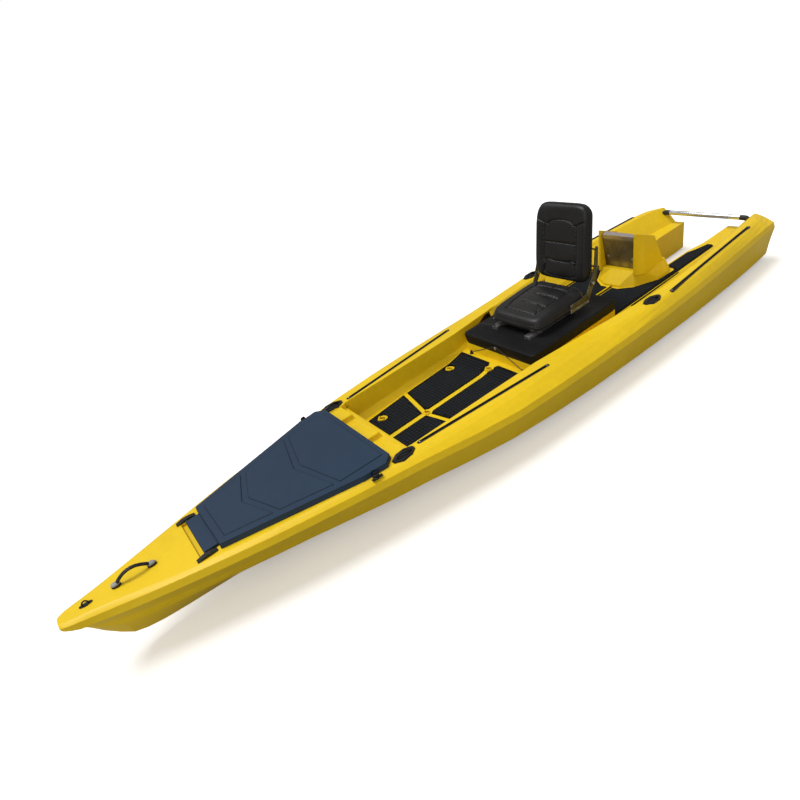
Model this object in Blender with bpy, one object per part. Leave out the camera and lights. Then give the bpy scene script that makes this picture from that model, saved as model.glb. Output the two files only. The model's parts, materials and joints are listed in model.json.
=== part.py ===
"""Motorized fishing kayak: rotomoulded hull with a hinged bow hatch, a sliding tractor seat and an outboard transom.

Run in Blender 4.5. Metres, +Z up, bow towards -Y, port side towards +X, origin under the middle of the hull.
Stations (s) are distances aft of the bow tip. Heights (h) are taken from the side deck, and are negative below it.
"""

import math

import bmesh
import bpy
import numpy as np
from mathutils import Matrix, Vector

# Hull
LENGTH = 4.67
DECK_Z = 0.330
WALL = 0.005
GAP = 0.0003
BAND_HEIGHT = 0.035
BAND_SWELL = 0.010
STERN_WALL = 0.022

# Station, half beam at the deck crease, crease height, keel height, chine width and height as shares of the side,
# and how far in from the crease the side deck starts to fall away
HULL_LINES = (
    (0.000, 0.034, 0.010, -0.020, 0.50, 0.50, 0.020),
    (0.012, 0.044, 0.010, -0.028, 0.50, 0.50, 0.022),
    (0.050, 0.058, 0.008, -0.064, 0.48, 0.50, 0.024),
    (0.110, 0.073, 0.004, -0.165, 0.46, 0.50, 0.026),
    (0.200, 0.098, 0.000, -0.262, 0.45, 0.48, 0.028),
    (0.400, 0.157, -0.006, -0.296, 0.47, 0.43, 0.030),
    (0.900, 0.288, -0.012, -0.320, 0.63, 0.40, 0.032),
    (1.540, 0.412, -0.022, -0.322, 0.83, 0.40, 0.045),
    (2.130, 0.498, -0.048, -0.322, 0.87, 0.29, 0.092),
    (2.700, 0.522, -0.052, -0.322, 0.89, 0.20, 0.105),
    (3.300, 0.531, -0.053, -0.322, 0.90, 0.17, 0.048),
    (3.950, 0.508, -0.052, -0.322, 0.93, 0.14, 0.045),
    (4.470, 0.476, -0.050, -0.322, 0.95, 0.13, 0.060),
    (LENGTH, 0.460, -0.064, -0.316, 0.95, 0.12, 0.120),
)
STATIONS = (
    0.0, 0.012, 0.03, 0.06, 0.10, 0.14, 0.18, 0.23, 0.30, 0.40, 0.52, 0.66, 0.82, 1.0, 1.2, 1.4, 1.6,
    1.85, 2.1, 2.4, 2.7, 3.0, 3.3, 3.6, 3.85, 4.1, 4.35, 4.55, LENGTH,
)
BOW_RISE = 0.018
BOW_RISE_END = 0.52
STERN_DROP = 0.014
STERN_DROP_START = 4.50

# Cockpit trough: station, floor half width, floor height, foot of the wall, its height, deck edge half width
TROUGH = (
    (1.575, 0.250, -0.140, 0.280, -0.104, 0.302),
    (2.300, 0.284, -0.136, 0.301, -0.100, 0.318),
    (2.420, 0.286, -0.115, 0.302, -0.096, 0.322),
    (3.180, 0.286, -0.115, 0.304, -0.092, 0.402),
    (3.600, 0.284, -0.115, 0.302, -0.090, 0.420),
    (4.100, 0.272, -0.115, 0.298, -0.085, 0.392),
    (4.400, 0.262, -0.115, 0.288, -0.084, 0.370),
    (4.800, 0.222, -0.115, 0.248, -0.084, 0.330),
)
LEDGE_RECESS = (1.464, 1.590, 0.300, -0.034)
LEDGE_BLOCKS = ((-0.236, 0.056), (0.0, 0.078), (0.236, 0.056))
LEDGE_BLOCK_LENGTH = 0.074
LEDGE_BLOCK_TOP = -0.006
SCUPPER_R = 0.016
SCUPPERS = ((0.0, 1.892), (0.0, 2.372), (-0.176, 1.705), (0.176, 1.705), (-0.226, 2.260), (0.226, 2.260))
SCUPPER_RIM_HEIGHT = 0.009

# Motor well between the stern sponsons: station and half width
WELL = ((3.870, 0.136), (4.170, 0.140), (4.340, 0.163), (4.800, 0.165))
WELL_CORNER = 0.03

# Keel strips: lateral place, first and last station
STRIPS = ((0.0, 1.00, 3.78), (-0.27, 2.10, 4.40), (0.27, 2.10, 4.40))
STRIP_WIDTH = 0.034

# Hatch
LID_NECK = (0.576, 0.131)
LID_SHOULDER = (0.644, 0.166)
LID_SIDE = ((1.290, 0.331), (1.410, 0.343))
LID_AFT = (1.458, 0.300)
LID_TOP = 0.027
LID_SKIN = 0.004
LID_WALL = 0.006
LID_NECK_TOP = 0.010
LID_PANEL_RISE = 0.003
LID_HOLLOW_FORE = 0.662
NECK_RECESS = (0.556, 0.655, 0.138, -0.013)
HINGE_S = 0.585
HINGE_H = 0.0035
HINGE_PIN_R = 0.003
PIN_CLEARANCE = 0.0003
HATCH_INSET = 0.045
HATCH_FORE = 0.715
COAMING_WALL = 0.006
COAMING_TOP = 0.0165
GASKET_HEIGHT = 0.0058
LATCH_S = 1.336
LATCH_X = 0.351
LATCH_BASE_R = 0.018
LATCH_KNOB_R = 0.0145
LATCH_NOTCH_R = 0.0225

# Deck fittings
TRACKS = (
    ("front", (0.321, 1.610), (0.396, 2.430)),
    ("rear", (0.484, 3.405), (0.421, 4.400)),
)
TRACK_WIDTH = 0.020
TRACK_DEPTH = 0.012
TRACK_SLOT = 0.008
TRACK_TEE = 0.003
TRACK_TOP = 0.0015
HANDLES = (("front", 0.332, 1.508, 4.0), ("rear", 0.454, 3.262, -3.0))
HANDLE_LENGTH = 0.128
HANDLE_WIDTH = 0.066
HANDLE_RECESS = 0.004
BOW_HANDLE = (0.235, 0.385)
BOW_HANDLE_RISE = 0.036
BOW_HANDLE_R = 0.0065
PAD_EYE_S = 0.112

# Mats
MAT_THICKNESS = 0.005

# Seat base box and slide
BASE_S = (2.450, 3.190)
BASE_HALF = 0.276
BASE_BOTTOM = -0.066
BASE_TOP = 0.005
BASE_WALL = 0.005
PANEL_HALF = 0.256
PANEL_MARGIN = 0.014
PANEL_RISE = 0.0008
RAIL_X = 0.127
RAIL_S = (2.575, 2.945)
RAIL_WIDTH = 0.042
RAIL_HEIGHT = 0.014
RAIL_SHEET = 0.0025
RAIL_LIFT = 0.0009
LEVER_X = -RAIL_X - RAIL_WIDTH / 2 + 0.010
LEVER_S = RAIL_S[0] + 0.012

# Bungee in front of the seat base: its eye's place and the cord's radius
BUNGEE_EYE = (0.209, 2.433)
BUNGEE_R = 0.0025

# Seat
CUSHION_S = (2.610, 3.032)
CUSHION_HALF = 0.194
CUSHION_BOTTOM = 0.044
CUSHION_FRONT_TOP = 0.108
CUSHION_REAR_TOP = 0.134
PAN_SHEET = 0.0025
BACK_LEAN = 8.0
BACK_FOOT = (3.074, 0.138)
BACK_HEIGHT = 0.444
BACK_HALF_FOOT = 0.193
BACK_HALF_TOP = 0.184
BACK_THICKNESS = 0.056
BACK_SHELL_DEPTH = 0.030
PIVOT = (3.068, 0.148)
PIVOT_R = 0.005
BRACKET_X = 0.1990
BRACKET_THICKNESS = 0.005
STUD_R = 0.0045
BRACKET_FRONT_BOLT = (2.885, 0.073)
BRACKET_REAR_BOLT = (3.022, 0.078)
BRACKET_UPPER_BOLTS = ((3.100, 0.235), (3.113, 0.332))

# Outboard transom
MOUNT_FOOT_S = (3.555, 3.870)
MOUNT_TOP_H = -0.025
CHEEK_INNER = 0.120
CHEEK_OUTER_FOOT = 0.172
CHEEK_OUTER_TOP = 0.148
CHEEK_FRONT_TOP = 0.228
CHEEK_REAR_TOP = 0.155
BOARD_FOOT = (3.640, -0.031)
BOARD_HEIGHT = 0.235
BOARD_THICKNESS = 0.032
BOARD_LEAN = 8.0
PLATE_SHEET = 0.0025
PLATE_LIP = 0.026
PLATE_HEM = 0.0022
PLATE_FOOT = 0.009
BOARD_BOLTS = ((-0.088, 0.075), (0.088, 0.075))

# Stern bar
BAR_S = 4.632
BAR_H = -0.034
BAR_R = 0.0125
BAR_HALF = 0.280
ELBOW_R = 0.0175
ELBOW_BEND = 0.030

# Drain plug in the stern
DRAIN_X = 0.30
DRAIN_H = -0.20
DRAIN_R = 0.0105
DRAIN_FLANGE_R = 0.019
DRAIN_POCKET = 0.012

ROUND = 20
SIDES = (("port", 1), ("starboard", -1))


def place(x, s, h):
    """World point of a lateral place, a station and a height from the deck."""
    return (x, s - LENGTH / 2, DECK_Z + h)


def clear_scene():
    for old in list(bpy.data.objects):
        bpy.data.objects.remove(old, do_unlink=True)


def material(name, colour, roughness, metallic=0.0):
    made = bpy.data.materials.get(name)
    if made:
        return made
    made = bpy.data.materials.new(name)
    made.use_nodes = True
    shader = made.node_tree.nodes["Principled BSDF"]
    shader.inputs["Base Color"].default_value = (*colour, 1.0)
    shader.inputs["Roughness"].default_value = roughness
    shader.inputs["Metallic"].default_value = metallic
    return made


def solid(name, points, faces, finish=None, smooth=False):
    """An object from points and faces, with its normals facing out."""
    mesh = bpy.data.meshes.new(name)
    mesh.from_pydata([tuple(float(c) for c in point) for point in points], [], faces)
    shell = bmesh.new()
    shell.from_mesh(mesh)
    bmesh.ops.remove_doubles(shell, verts=shell.verts, dist=1e-6)
    bmesh.ops.recalc_face_normals(shell, faces=shell.faces)
    shell.to_mesh(mesh)
    shell.free()
    made = bpy.data.objects.new(name, mesh)
    bpy.context.scene.collection.objects.link(made)
    if smooth:
        for face in mesh.polygons:
            face.use_smooth = True
    if finish:
        mesh.materials.append(finish)
    return made


def loft(name, rings, finish=None, smooth=False):
    """A closed solid through rings of equal length, with both ends capped."""
    count = len(rings[0])
    points = [point for ring in rings for point in ring]
    faces = []
    for row in range(len(rings) - 1):
        for col in range(count):
            nxt = (col + 1) % count
            faces.append((row * count + col, row * count + nxt, (row + 1) * count + nxt, (row + 1) * count + col))
    faces.append(tuple(reversed(range(count))))
    faces.append(tuple((len(rings) - 1) * count + col for col in range(count)))
    return solid(name, points, faces, finish, smooth)


def prism(name, outline, low, high, finish=None, draft=0.0):
    """An (x, s) outline raised between two heights; draft draws the top in towards the outline's middle."""
    centre = np.mean(np.array(outline), axis=0)
    drawn = []
    for point in outline:
        away = np.array(point) - centre
        drawn.append(np.array(point) - draft * away / max(np.linalg.norm(away), 1e-9))
    rings = [[place(x, s, low) for x, s in outline], [place(x, s, high) for x, s in drawn]]
    return loft(name, rings, finish)


def inset(outline, amount):
    """The outline moved inwards by one distance along its corner bisectors; it runs anticlockwise."""
    points = np.array(outline, float)
    area = sum(a[0] * b[1] - b[0] * a[1] for a, b in zip(points, np.roll(points, -1, axis=0)))
    turn = 1.0 if area > 0 else -1.0
    moved = []
    for before, here, after in zip(np.roll(points, 1, axis=0), points, np.roll(points, -1, axis=0)):
        first = (here - before) / np.linalg.norm(here - before)
        second = (after - here) / np.linalg.norm(after - here)
        normal_a = turn * np.array((-first[1], first[0]))
        normal_b = turn * np.array((-second[1], second[0]))
        bisector = normal_a + normal_b
        moved.append(here + amount * bisector / (1.0 + normal_a @ normal_b))
    return [tuple(point) for point in moved]


def box(name, low, high, finish=None):
    (x0, s0, h0), (x1, s1, h1) = low, high
    return prism(name, [(x0, s0), (x1, s0), (x1, s1), (x0, s1)], h0, h1, finish)


def rod(name, start, end, radius, finish=None, sides=ROUND):
    """A round bar between two (x, s, h) places, smooth along its side."""
    a, b = Vector(place(*start)), Vector(place(*end))
    turn = (b - a).to_track_quat("Z", "Y").to_matrix()
    rings = []
    for centre in (a, b):
        ring = []
        for step in range(sides):
            angle = 2 * math.pi * step / sides
            ring.append(centre + turn @ Vector((radius * math.cos(angle), radius * math.sin(angle), 0)))
        rings.append(ring)
    made = loft(name, rings, finish)
    for face in made.data.polygons:
        face.use_smooth = len(face.vertices) == 4
    return made


def revolve(name, centre, axis, profile, finish=None, sides=ROUND):
    """A profile of (along, radius) pairs turned about an axis through an (x, s, h) place."""
    turn = Vector(axis).to_track_quat("Z", "Y").to_matrix()
    rings = []
    for along, radius in profile:
        ring = []
        for step in range(sides):
            angle = 2 * math.pi * step / sides
            local = Vector((radius * math.cos(angle), radius * math.sin(angle), along))
            ring.append(Vector(place(*centre)) + turn @ local)
        rings.append(ring)
    return loft(name, rings, finish, smooth=True)


def sweep(name, route, radius, finish=None, sides=12):
    """A tube of one radius along world points, turned as little as possible from ring to ring."""
    points = [Vector(point) for point in route]
    tangents = []
    for index in range(len(points)):
        ahead = points[min(index + 1, len(points) - 1)]
        behind = points[max(index - 1, 0)]
        tangents.append((ahead - behind).normalized())
    side = tangents[0].orthogonal().normalized()
    rings = []
    for index, (point, tangent) in enumerate(zip(points, tangents)):
        if index:
            side = (tangents[index - 1].rotation_difference(tangent) @ side).normalized()
        up = tangent.cross(side)
        ring = []
        for step in range(sides):
            angle = 2 * math.pi * step / sides
            ring.append(point + radius * (math.cos(angle) * side + math.sin(angle) * up))
        rings.append(ring)
    made = loft(name, rings, finish)
    for face in made.data.polygons:
        face.use_smooth = len(face.vertices) == 4
    return made


def combine(target, others, operation):
    """Applies one exact Boolean of the target with each of the others, and removes those."""
    for other in others:
        step = target.modifiers.new("step", "BOOLEAN")
        step.operation = operation
        step.solver = "EXACT"
        step.object = other
        bpy.context.view_layer.update()
        graph = bpy.context.evaluated_depsgraph_get()
        done = bpy.data.meshes.new_from_object(target.evaluated_get(graph))
        target.modifiers.clear()
        old = target.data
        done.name = old.name
        target.data = done
        bpy.data.meshes.remove(old)
        bpy.data.objects.remove(other, do_unlink=True)
    return target


def cut(target, *cutters):
    return combine(target, cutters, "DIFFERENCE")


def join(target, *others):
    return combine(target, others, "UNION")


def finish_mesh(target, finish, sharp=35.0):
    """One material, and smooth faces except across edges sharper than an angle."""
    target.data.materials.clear()
    target.data.materials.append(finish)
    shell = bmesh.new()
    shell.from_mesh(target.data)
    bmesh.ops.remove_doubles(shell, verts=shell.verts, dist=1e-6)
    bmesh.ops.dissolve_limit(shell, angle_limit=math.radians(0.05), verts=shell.verts, edges=shell.edges)
    bmesh.ops.triangulate(shell, faces=[face for face in shell.faces if len(face.verts) > 4])
    for face in shell.faces:
        face.material_index = 0
        face.smooth = True
    for edge in shell.edges:
        edge.smooth = len(edge.link_faces) == 2 and edge.calc_face_angle(0.0) < math.radians(sharp)
    shell.to_mesh(target.data)
    shell.free()
    return target


def curve_through(table, column):
    """A monotone cubic through one column of a table whose first column rises."""
    xs = np.array([row[0] for row in table])
    ys = np.array([row[column] for row in table])
    widths = np.diff(xs)
    slopes = np.diff(ys) / widths
    tangents = np.zeros(len(xs))
    tangents[0], tangents[-1] = slopes[0], slopes[-1]
    for k in range(1, len(xs) - 1):
        if slopes[k - 1] * slopes[k] > 0:
            w1 = 2 * widths[k] + widths[k - 1]
            w2 = widths[k] + 2 * widths[k - 1]
            tangents[k] = (w1 + w2) / (w1 / slopes[k - 1] + w2 / slopes[k])

    def value(x):
        k = int(np.clip(np.searchsorted(xs, x) - 1, 0, len(xs) - 2))
        t = min(max((x - xs[k]) / widths[k], 0.0), 1.0)
        rise = (2 * t**3 - 3 * t**2 + 1) * ys[k] + (3 * t**2 - 2 * t**3) * ys[k + 1]
        bend = (t**3 - 2 * t**2 + t) * tangents[k] + (t**3 - t**2) * tangents[k + 1]
        return float(rise + widths[k] * bend)

    return value


HALF_BEAM = curve_through(HULL_LINES, 1)
CREASE_H = curve_through(HULL_LINES, 2)
KEEL_H = curve_through(HULL_LINES, 3)
CHINE_SHARE = curve_through(HULL_LINES, 4)
CHINE_RISE = curve_through(HULL_LINES, 5)
CAMBER = curve_through(HULL_LINES, 6)


def ramp(value, start, end):
    """Rises smoothly from 0 at start to 1 at end."""
    t = min(max((value - start) / (end - start), 0.0), 1.0)
    return t * t * (3 - 2 * t)


def deck_height(s):
    return BOW_RISE * (1 - ramp(s, 0.0, BOW_RISE_END)) - STERN_DROP * ramp(s, STERN_DROP_START, LENGTH)


def hull_ring(s, skin=0.0):
    """Outer section at a station, or the same section drawn in by a skin thickness."""
    beam = HALF_BEAM(s)
    crease = CREASE_H(s)
    keel = KEEL_H(s)
    deck = deck_height(s)
    fullness = 1.0 + 3.2 * ramp(s, 0.5, 2.2)
    band_bottom = (beam + BAND_SWELL * ramp(s, 0.0, 0.3), crease - min(BAND_HEIGHT, 0.5 * (crease - keel)))
    chine_x = CHINE_SHARE(s) * beam
    chine_h = keel + CHINE_RISE(s) * (band_bottom[1] - keel)
    half = [(0.0, keel)]
    for step in range(1, 7):
        share = step / 6
        half.append((chine_x * share, keel + (chine_h - keel) * share**fullness))
    hollow = 0.014 * (1 - ramp(s, 0.3, 1.6)) * ramp(s, 0.02, 0.2) + 0.003
    for step in (1, 2):
        share = step / 3
        x = chine_x + (band_bottom[0] - chine_x) * share - hollow * math.sin(math.pi * share)
        half.append((x, chine_h + (band_bottom[1] - chine_h) * share))
    half.append(band_bottom)
    half.append((beam, crease))
    camber = CAMBER(s)
    for across, rise in ((0.33, 0.42), (0.68, 0.80), (1.0, 1.0)):
        half.append((beam - camber * across, crease + (deck - crease) * rise))
    section = half + [(-x, h) for x, h in reversed(half) if x > 0]
    if skin:
        section = inset(section, skin)
    return [place(x, s, h) for x, h in section]


def hull_loft(name, stations, skin=0.0):
    rings = [hull_ring(s, skin) for s in stations]
    return loft(name, rings)


def floor_height(s):
    """Height of the cockpit floor, which runs straight from one station of the trough table to the next."""
    return float(np.interp(s, [row[0] for row in TROUGH], [row[2] for row in TROUGH]))


def trough_cutter(name, grow=0.0):
    """The cockpit and its run out through the stern, or the same drawn larger by a wall."""
    reach = 0.06
    columns = [curve_through(TROUGH, column) for column in (1, 3, 4, 5)]
    inner = {row[0] for row in TROUGH[1:-1]} | {1.8, 2.05, 2.8, 3.4, 3.85}
    stations = [TROUGH[0][0] - grow, *sorted(inner), TROUGH[-1][0] + grow]
    rings = []
    for s in stations:
        floor_x, foot_x, foot_h, edge_x = (column(s) for column in columns)
        floor_h = floor_height(s)
        half = [(floor_x + grow * 0.6, floor_h - grow), (foot_x + grow, foot_h - grow * 0.6)]
        half += [(edge_x + grow, 0.0), (edge_x + grow, reach)]
        ring = [place(x, s, h) for x, h in half]
        ring += [place(-x, s, h) for x, h in reversed(half)]
        rings.append(ring)
    return loft(name, rings)


def well_outline(grow=0.0):
    """Plan of the motor well with rounded fore corners."""
    start, half = WELL[0]
    outline = []
    for step in range(5):
        angle = math.radians(90 * step / 4)
        outline.append(
            (half + grow - WELL_CORNER * (1 - math.sin(angle)), start - grow + WELL_CORNER * (1 - math.cos(angle)))
        )
    outline += [(x + grow, s) for s, x in WELL[1:]]
    return outline + [(-x, s) for x, s in reversed(outline)]


def lid_outline():
    side = [(LID_SHOULDER[1], LID_SHOULDER[0]), *[(x, s) for s, x in LID_SIDE], (LID_AFT[1], LID_AFT[0])]
    return side + [(-x, s) for x, s in reversed(side)]


def hatch_outline(grow=0.0):
    """Plan of the hatch opening, in from the lid's edge by one distance on every side."""
    share = (HATCH_FORE - LID_SHOULDER[0]) / (LID_SIDE[0][0] - LID_SHOULDER[0])
    fore_x = LID_SHOULDER[1] + (LID_SIDE[0][1] - LID_SHOULDER[1]) * share - HATCH_INSET
    aft_s = LID_AFT[0] - HATCH_INSET
    aft_x = LID_SIDE[0][1] - HATCH_INSET
    corner = 0.03
    side = [(fore_x - corner, HATCH_FORE), (fore_x, HATCH_FORE + corner)]
    side += [(aft_x, LID_SIDE[0][0]), (aft_x + 0.004, aft_s - corner), (aft_x + 0.004 - corner, aft_s)]
    outline = side + [(-x, s) for x, s in reversed(side)]
    return inset(outline, -grow) if grow else outline


def track_outline(fore, aft, sign, half, extra):
    """Plan of a gear track with round ends, as (x, s) points."""
    a = np.array((sign * fore[0], fore[1]))
    b = np.array((sign * aft[0], aft[1]))
    along = (b - a) / np.linalg.norm(b - a)
    across = np.array((-along[1], along[0]))
    outline = []
    for centre, start in ((b, 90), (a, 270)):
        for step in range(5):
            angle = math.radians(start - 180 * step / 4)
            outline.append(tuple(centre + (half + extra) * (math.cos(angle) * along + math.sin(angle) * across)))
    return outline


def handle_outline(x, s, turn, grow=0.0):
    """Long hexagon of a carry handle, turned in plan by some degrees."""
    a = HANDLE_LENGTH / 2 + grow
    b = HANDLE_WIDTH / 2 + grow
    shape = [(-0.35 * b, -a), (0.35 * b, -a), (b, -0.42 * a), (b, 0.42 * a), (0.35 * b, a), (-0.35 * b, a)]
    shape += [(-b, 0.42 * a), (-b, -0.42 * a)]
    c, n = math.cos(math.radians(turn)), math.sin(math.radians(turn))
    return [(x + c * px - n * py, s + n * px + c * py) for px, py in shape]


def mount_body():
    """Moulded foot of the outboard transom with its two cheeks."""
    fore, aft = MOUNT_FOOT_S
    low = TROUGH[3][2] - WALL / 2
    foot_half = [(0.055, fore - 0.03), (0.13, fore + 0.02), (0.205, fore + 0.16), (0.214, fore + 0.27), (0.20, aft)]
    top_half = [(0.05, fore + 0.035), (0.115, fore + 0.04), (0.155, fore + 0.10)]
    top_half += [(0.165, fore + 0.22), (0.165, aft - 0.01)]

    def ring(half, h):
        return [place(x, s, h) for x, s in half] + [place(-x, s, h) for x, s in reversed(half)]

    foot_edge = [(x + 0.004, s - 0.002) for x, s in foot_half]
    body = loft("mount", [ring(foot_edge, low), ring(foot_half, low + 0.016), ring(top_half, MOUNT_TOP_H)])
    for _, sign in SIDES:
        front = fore + 0.032
        rings = []
        for h_front, h_rear, wide, front_s, rear_s in (
            (MOUNT_TOP_H - 0.02, MOUNT_TOP_H - 0.02, CHEEK_OUTER_FOOT, front - 0.004, aft - 0.028),
            (CHEEK_FRONT_TOP, CHEEK_REAR_TOP, CHEEK_OUTER_TOP, front + 0.006, aft - 0.100),
        ):
            nose = CHEEK_INNER + 0.014
            plan = ((CHEEK_INNER, front_s), (nose, front_s), (wide, front_s + 0.055))
            plan += ((wide, rear_s), (CHEEK_INNER, rear_s))
            fall = (h_rear - h_front) / (rear_s - front_s)
            rings.append([place(sign * x, s, h_front + fall * (s - front_s)) for x, s in plan])
        join(body, loft("cheek", rings))
    return body


def leaning(made, foot, degrees):
    """Tilts a piece built upright, aft for positive angles, about the crosswise line through an (s, h) foot."""
    pivot = Vector(place(0.0, *foot))
    turn = Matrix.Translation(pivot) @ Matrix.Rotation(math.radians(-degrees), 4, "X") @ Matrix.Translation(-pivot)
    made.data.transform(turn)
    made.data.update()
    return made


def board_box(name, half, front, back, low, high, finish=None):
    """A block of the transom in the board's own upright frame, leaning forward as the board does."""
    s, h = BOARD_FOOT
    made = box(name, (-half, s + front, h + low), (half, s + back, h + high), finish)
    return leaning(made, BOARD_FOOT, -BOARD_LEAN)


def make_hull(yellow):
    hull = hull_loft("hull", STATIONS)
    inner_stations = [0.075, *[s for s in STATIONS if 0.1 <= s <= LENGTH - 0.1], LENGTH - STERN_WALL]
    cavity = hull_loft("cavity", inner_stations, WALL)
    fore, aft, half, floor = LEDGE_RECESS

    cut(hull, trough_cutter("trough"))
    cut(hull, box("ledge", (-half, fore, floor), (half, aft, 0.05)))
    cut(hull, prism("well", well_outline(), -DECK_Z - 0.05, 0.3))
    fore_n, aft_n, half_n, floor_n = NECK_RECESS
    cut(hull, box("neck", (-half_n, fore_n, floor_n), (half_n, aft_n, 0.05)))

    for x, half_width in LEDGE_BLOCKS:
        outline = [(x - half_width, fore - 0.01), (x + half_width, fore - 0.01)]
        outline += [(x + half_width, fore + LEDGE_BLOCK_LENGTH), (x - half_width, fore + LEDGE_BLOCK_LENGTH)]
        join(hull, prism("block", outline, floor - 0.003, LEDGE_BLOCK_TOP, draft=0.005))
    seat_s = (BASE_S[0] + 0.006, BASE_S[1] - 0.006)
    seat_half = BASE_HALF - 0.012
    rings = []
    for h, grow in ((TROUGH[3][2] - WALL / 2, 0.0025), (BASE_BOTTOM - GAP, 0.0)):
        corners = ((seat_half, seat_s[0] - 2 * grow), (seat_half, seat_s[1] + grow))
        ring = [place(x, s, h) for x, s in corners]
        rings.append(ring + [place(-x, s, h) for x, s in reversed(corners)])
    join(hull, loft("platform", rings))
    join(hull, mount_body())
    for x, start, end in STRIPS:
        wide = STRIP_WIDTH / 2
        low = -DECK_Z
        rings = []
        for h, length_in, width_in in ((low, 0.03, 0.004), (low + 0.006, 0.0, 0.0), (low + 0.022, 0.0, 0.0)):
            s0, s1 = start + length_in, end - length_in
            half = wide - width_in
            corners = ((-half, s0), (half, s0), (half, s1), (-half, s1))
            rings.append([place(x + a, s, h) for a, s in corners])
        join(hull, loft("strip", rings))
    join(hull, prism("coaming", hatch_outline(COAMING_WALL), -0.02, COAMING_TOP))

    for x, s in SCUPPERS:
        low = floor_height(s) - 0.004
        profile = [(0.0, SCUPPER_R + 0.010), (0.004 + SCUPPER_RIM_HEIGHT, SCUPPER_R + 0.007)]
        rim = revolve("rim", (x, s, low), (0, 0, 1), profile, sides=16)
        cut(rim, box("half", (x - 0.05, s, low + 0.004), (x + 0.05, s + 0.05, low + 0.05)))
        join(hull, rim)

    cut(cavity, trough_cutter("trough_wall", WALL))
    cut(cavity, box("ledge_wall", (-half - WALL, fore - WALL, floor - WALL), (half + WALL, aft + WALL, 0.05)))
    rings = []
    for h, grow in ((TROUGH[3][2] - 3 * WALL, 0.001), (BASE_BOTTOM - GAP - WALL, 0.0)):
        corners = ((seat_half - WALL, seat_s[0] + WALL - 2 * grow), (seat_half - WALL, seat_s[1] - WALL + grow))
        ring = [place(x, s, h) for x, s in corners]
        rings.append(ring + [place(-x, s, h) for x, s in reversed(corners)])
    join(cavity, loft("platform_room", rings))
    cut(cavity, prism("well_wall", well_outline(WALL), -DECK_Z - 0.05, 0.3))
    low_corner = (-half_n - WALL, fore_n - WALL, floor_n - WALL)
    cut(cavity, box("neck_wall", low_corner, (half_n + WALL, aft_n + WALL, 0.05)))
    for x, s in SCUPPERS:
        cut(cavity, rod("post", (x, s, -DECK_Z - 0.05), (x, s, 0.0), SCUPPER_R + 0.005, sides=12))
        cut(hull, rod("scupper", (x, s, -DECK_Z - 0.05), (x, s, 0.05), SCUPPER_R, sides=16))
    for _, sign in SIDES:
        for _, fore_end, aft_end in TRACKS:
            half_track = TRACK_WIDTH / 2
            groove = track_outline(fore_end, aft_end, sign, half_track, GAP)
            cut(hull, prism("groove", groove, -TRACK_DEPTH - GAP, 0.05))
            wall = track_outline(fore_end, aft_end, sign, half_track, 0.8 * WALL)
            cut(cavity, prism("groove_wall", wall, -TRACK_DEPTH - WALL, 0.05))
        for _, x, s, turn in HANDLES:
            seat = handle_outline(sign * x, s, sign * turn, 0.0015)
            cut(hull, prism("handle_seat", seat, -HANDLE_RECESS, 0.05))
            cut(cavity, prism("handle_wall", seat, -HANDLE_RECESS - WALL, 0.05))
    cut(hull, prism("hatch", hatch_outline(), -0.05, 0.05))
    cut(hull, cavity)
    slot_face = PLATE_SHEET + GAP
    cut(hull, board_box("slot", CHEEK_INNER + GAP, -slot_face, BOARD_THICKNESS + slot_face, -GAP, 0.3))
    groove_h = TROUGH[3][2] + 0.001
    cut(hull, rod("groove_centre", (0, 3.30, groove_h), (0, 3.525, groove_h), 0.010, sides=12))
    for reach, radius in ((0.05, DRAIN_R + GAP), (DRAIN_POCKET, DRAIN_FLANGE_R + 0.002)):
        fore_end = (DRAIN_X, LENGTH - reach, DRAIN_H)
        cut(hull, rod("drain", fore_end, (DRAIN_X, LENGTH + 0.01, DRAIN_H), radius, sides=16))
    return finish_mesh(hull, yellow)


def screw(x, s, h, radius=0.0045, height=0.0022):
    """A domed screw head sunk a little into the face that it stands on."""
    profile = ((-0.001, radius), (0.0, radius), (height, 0.55 * radius))
    return revolve("screw", (x, s, h), (0, 0, 1), profile, sides=12)


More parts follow.
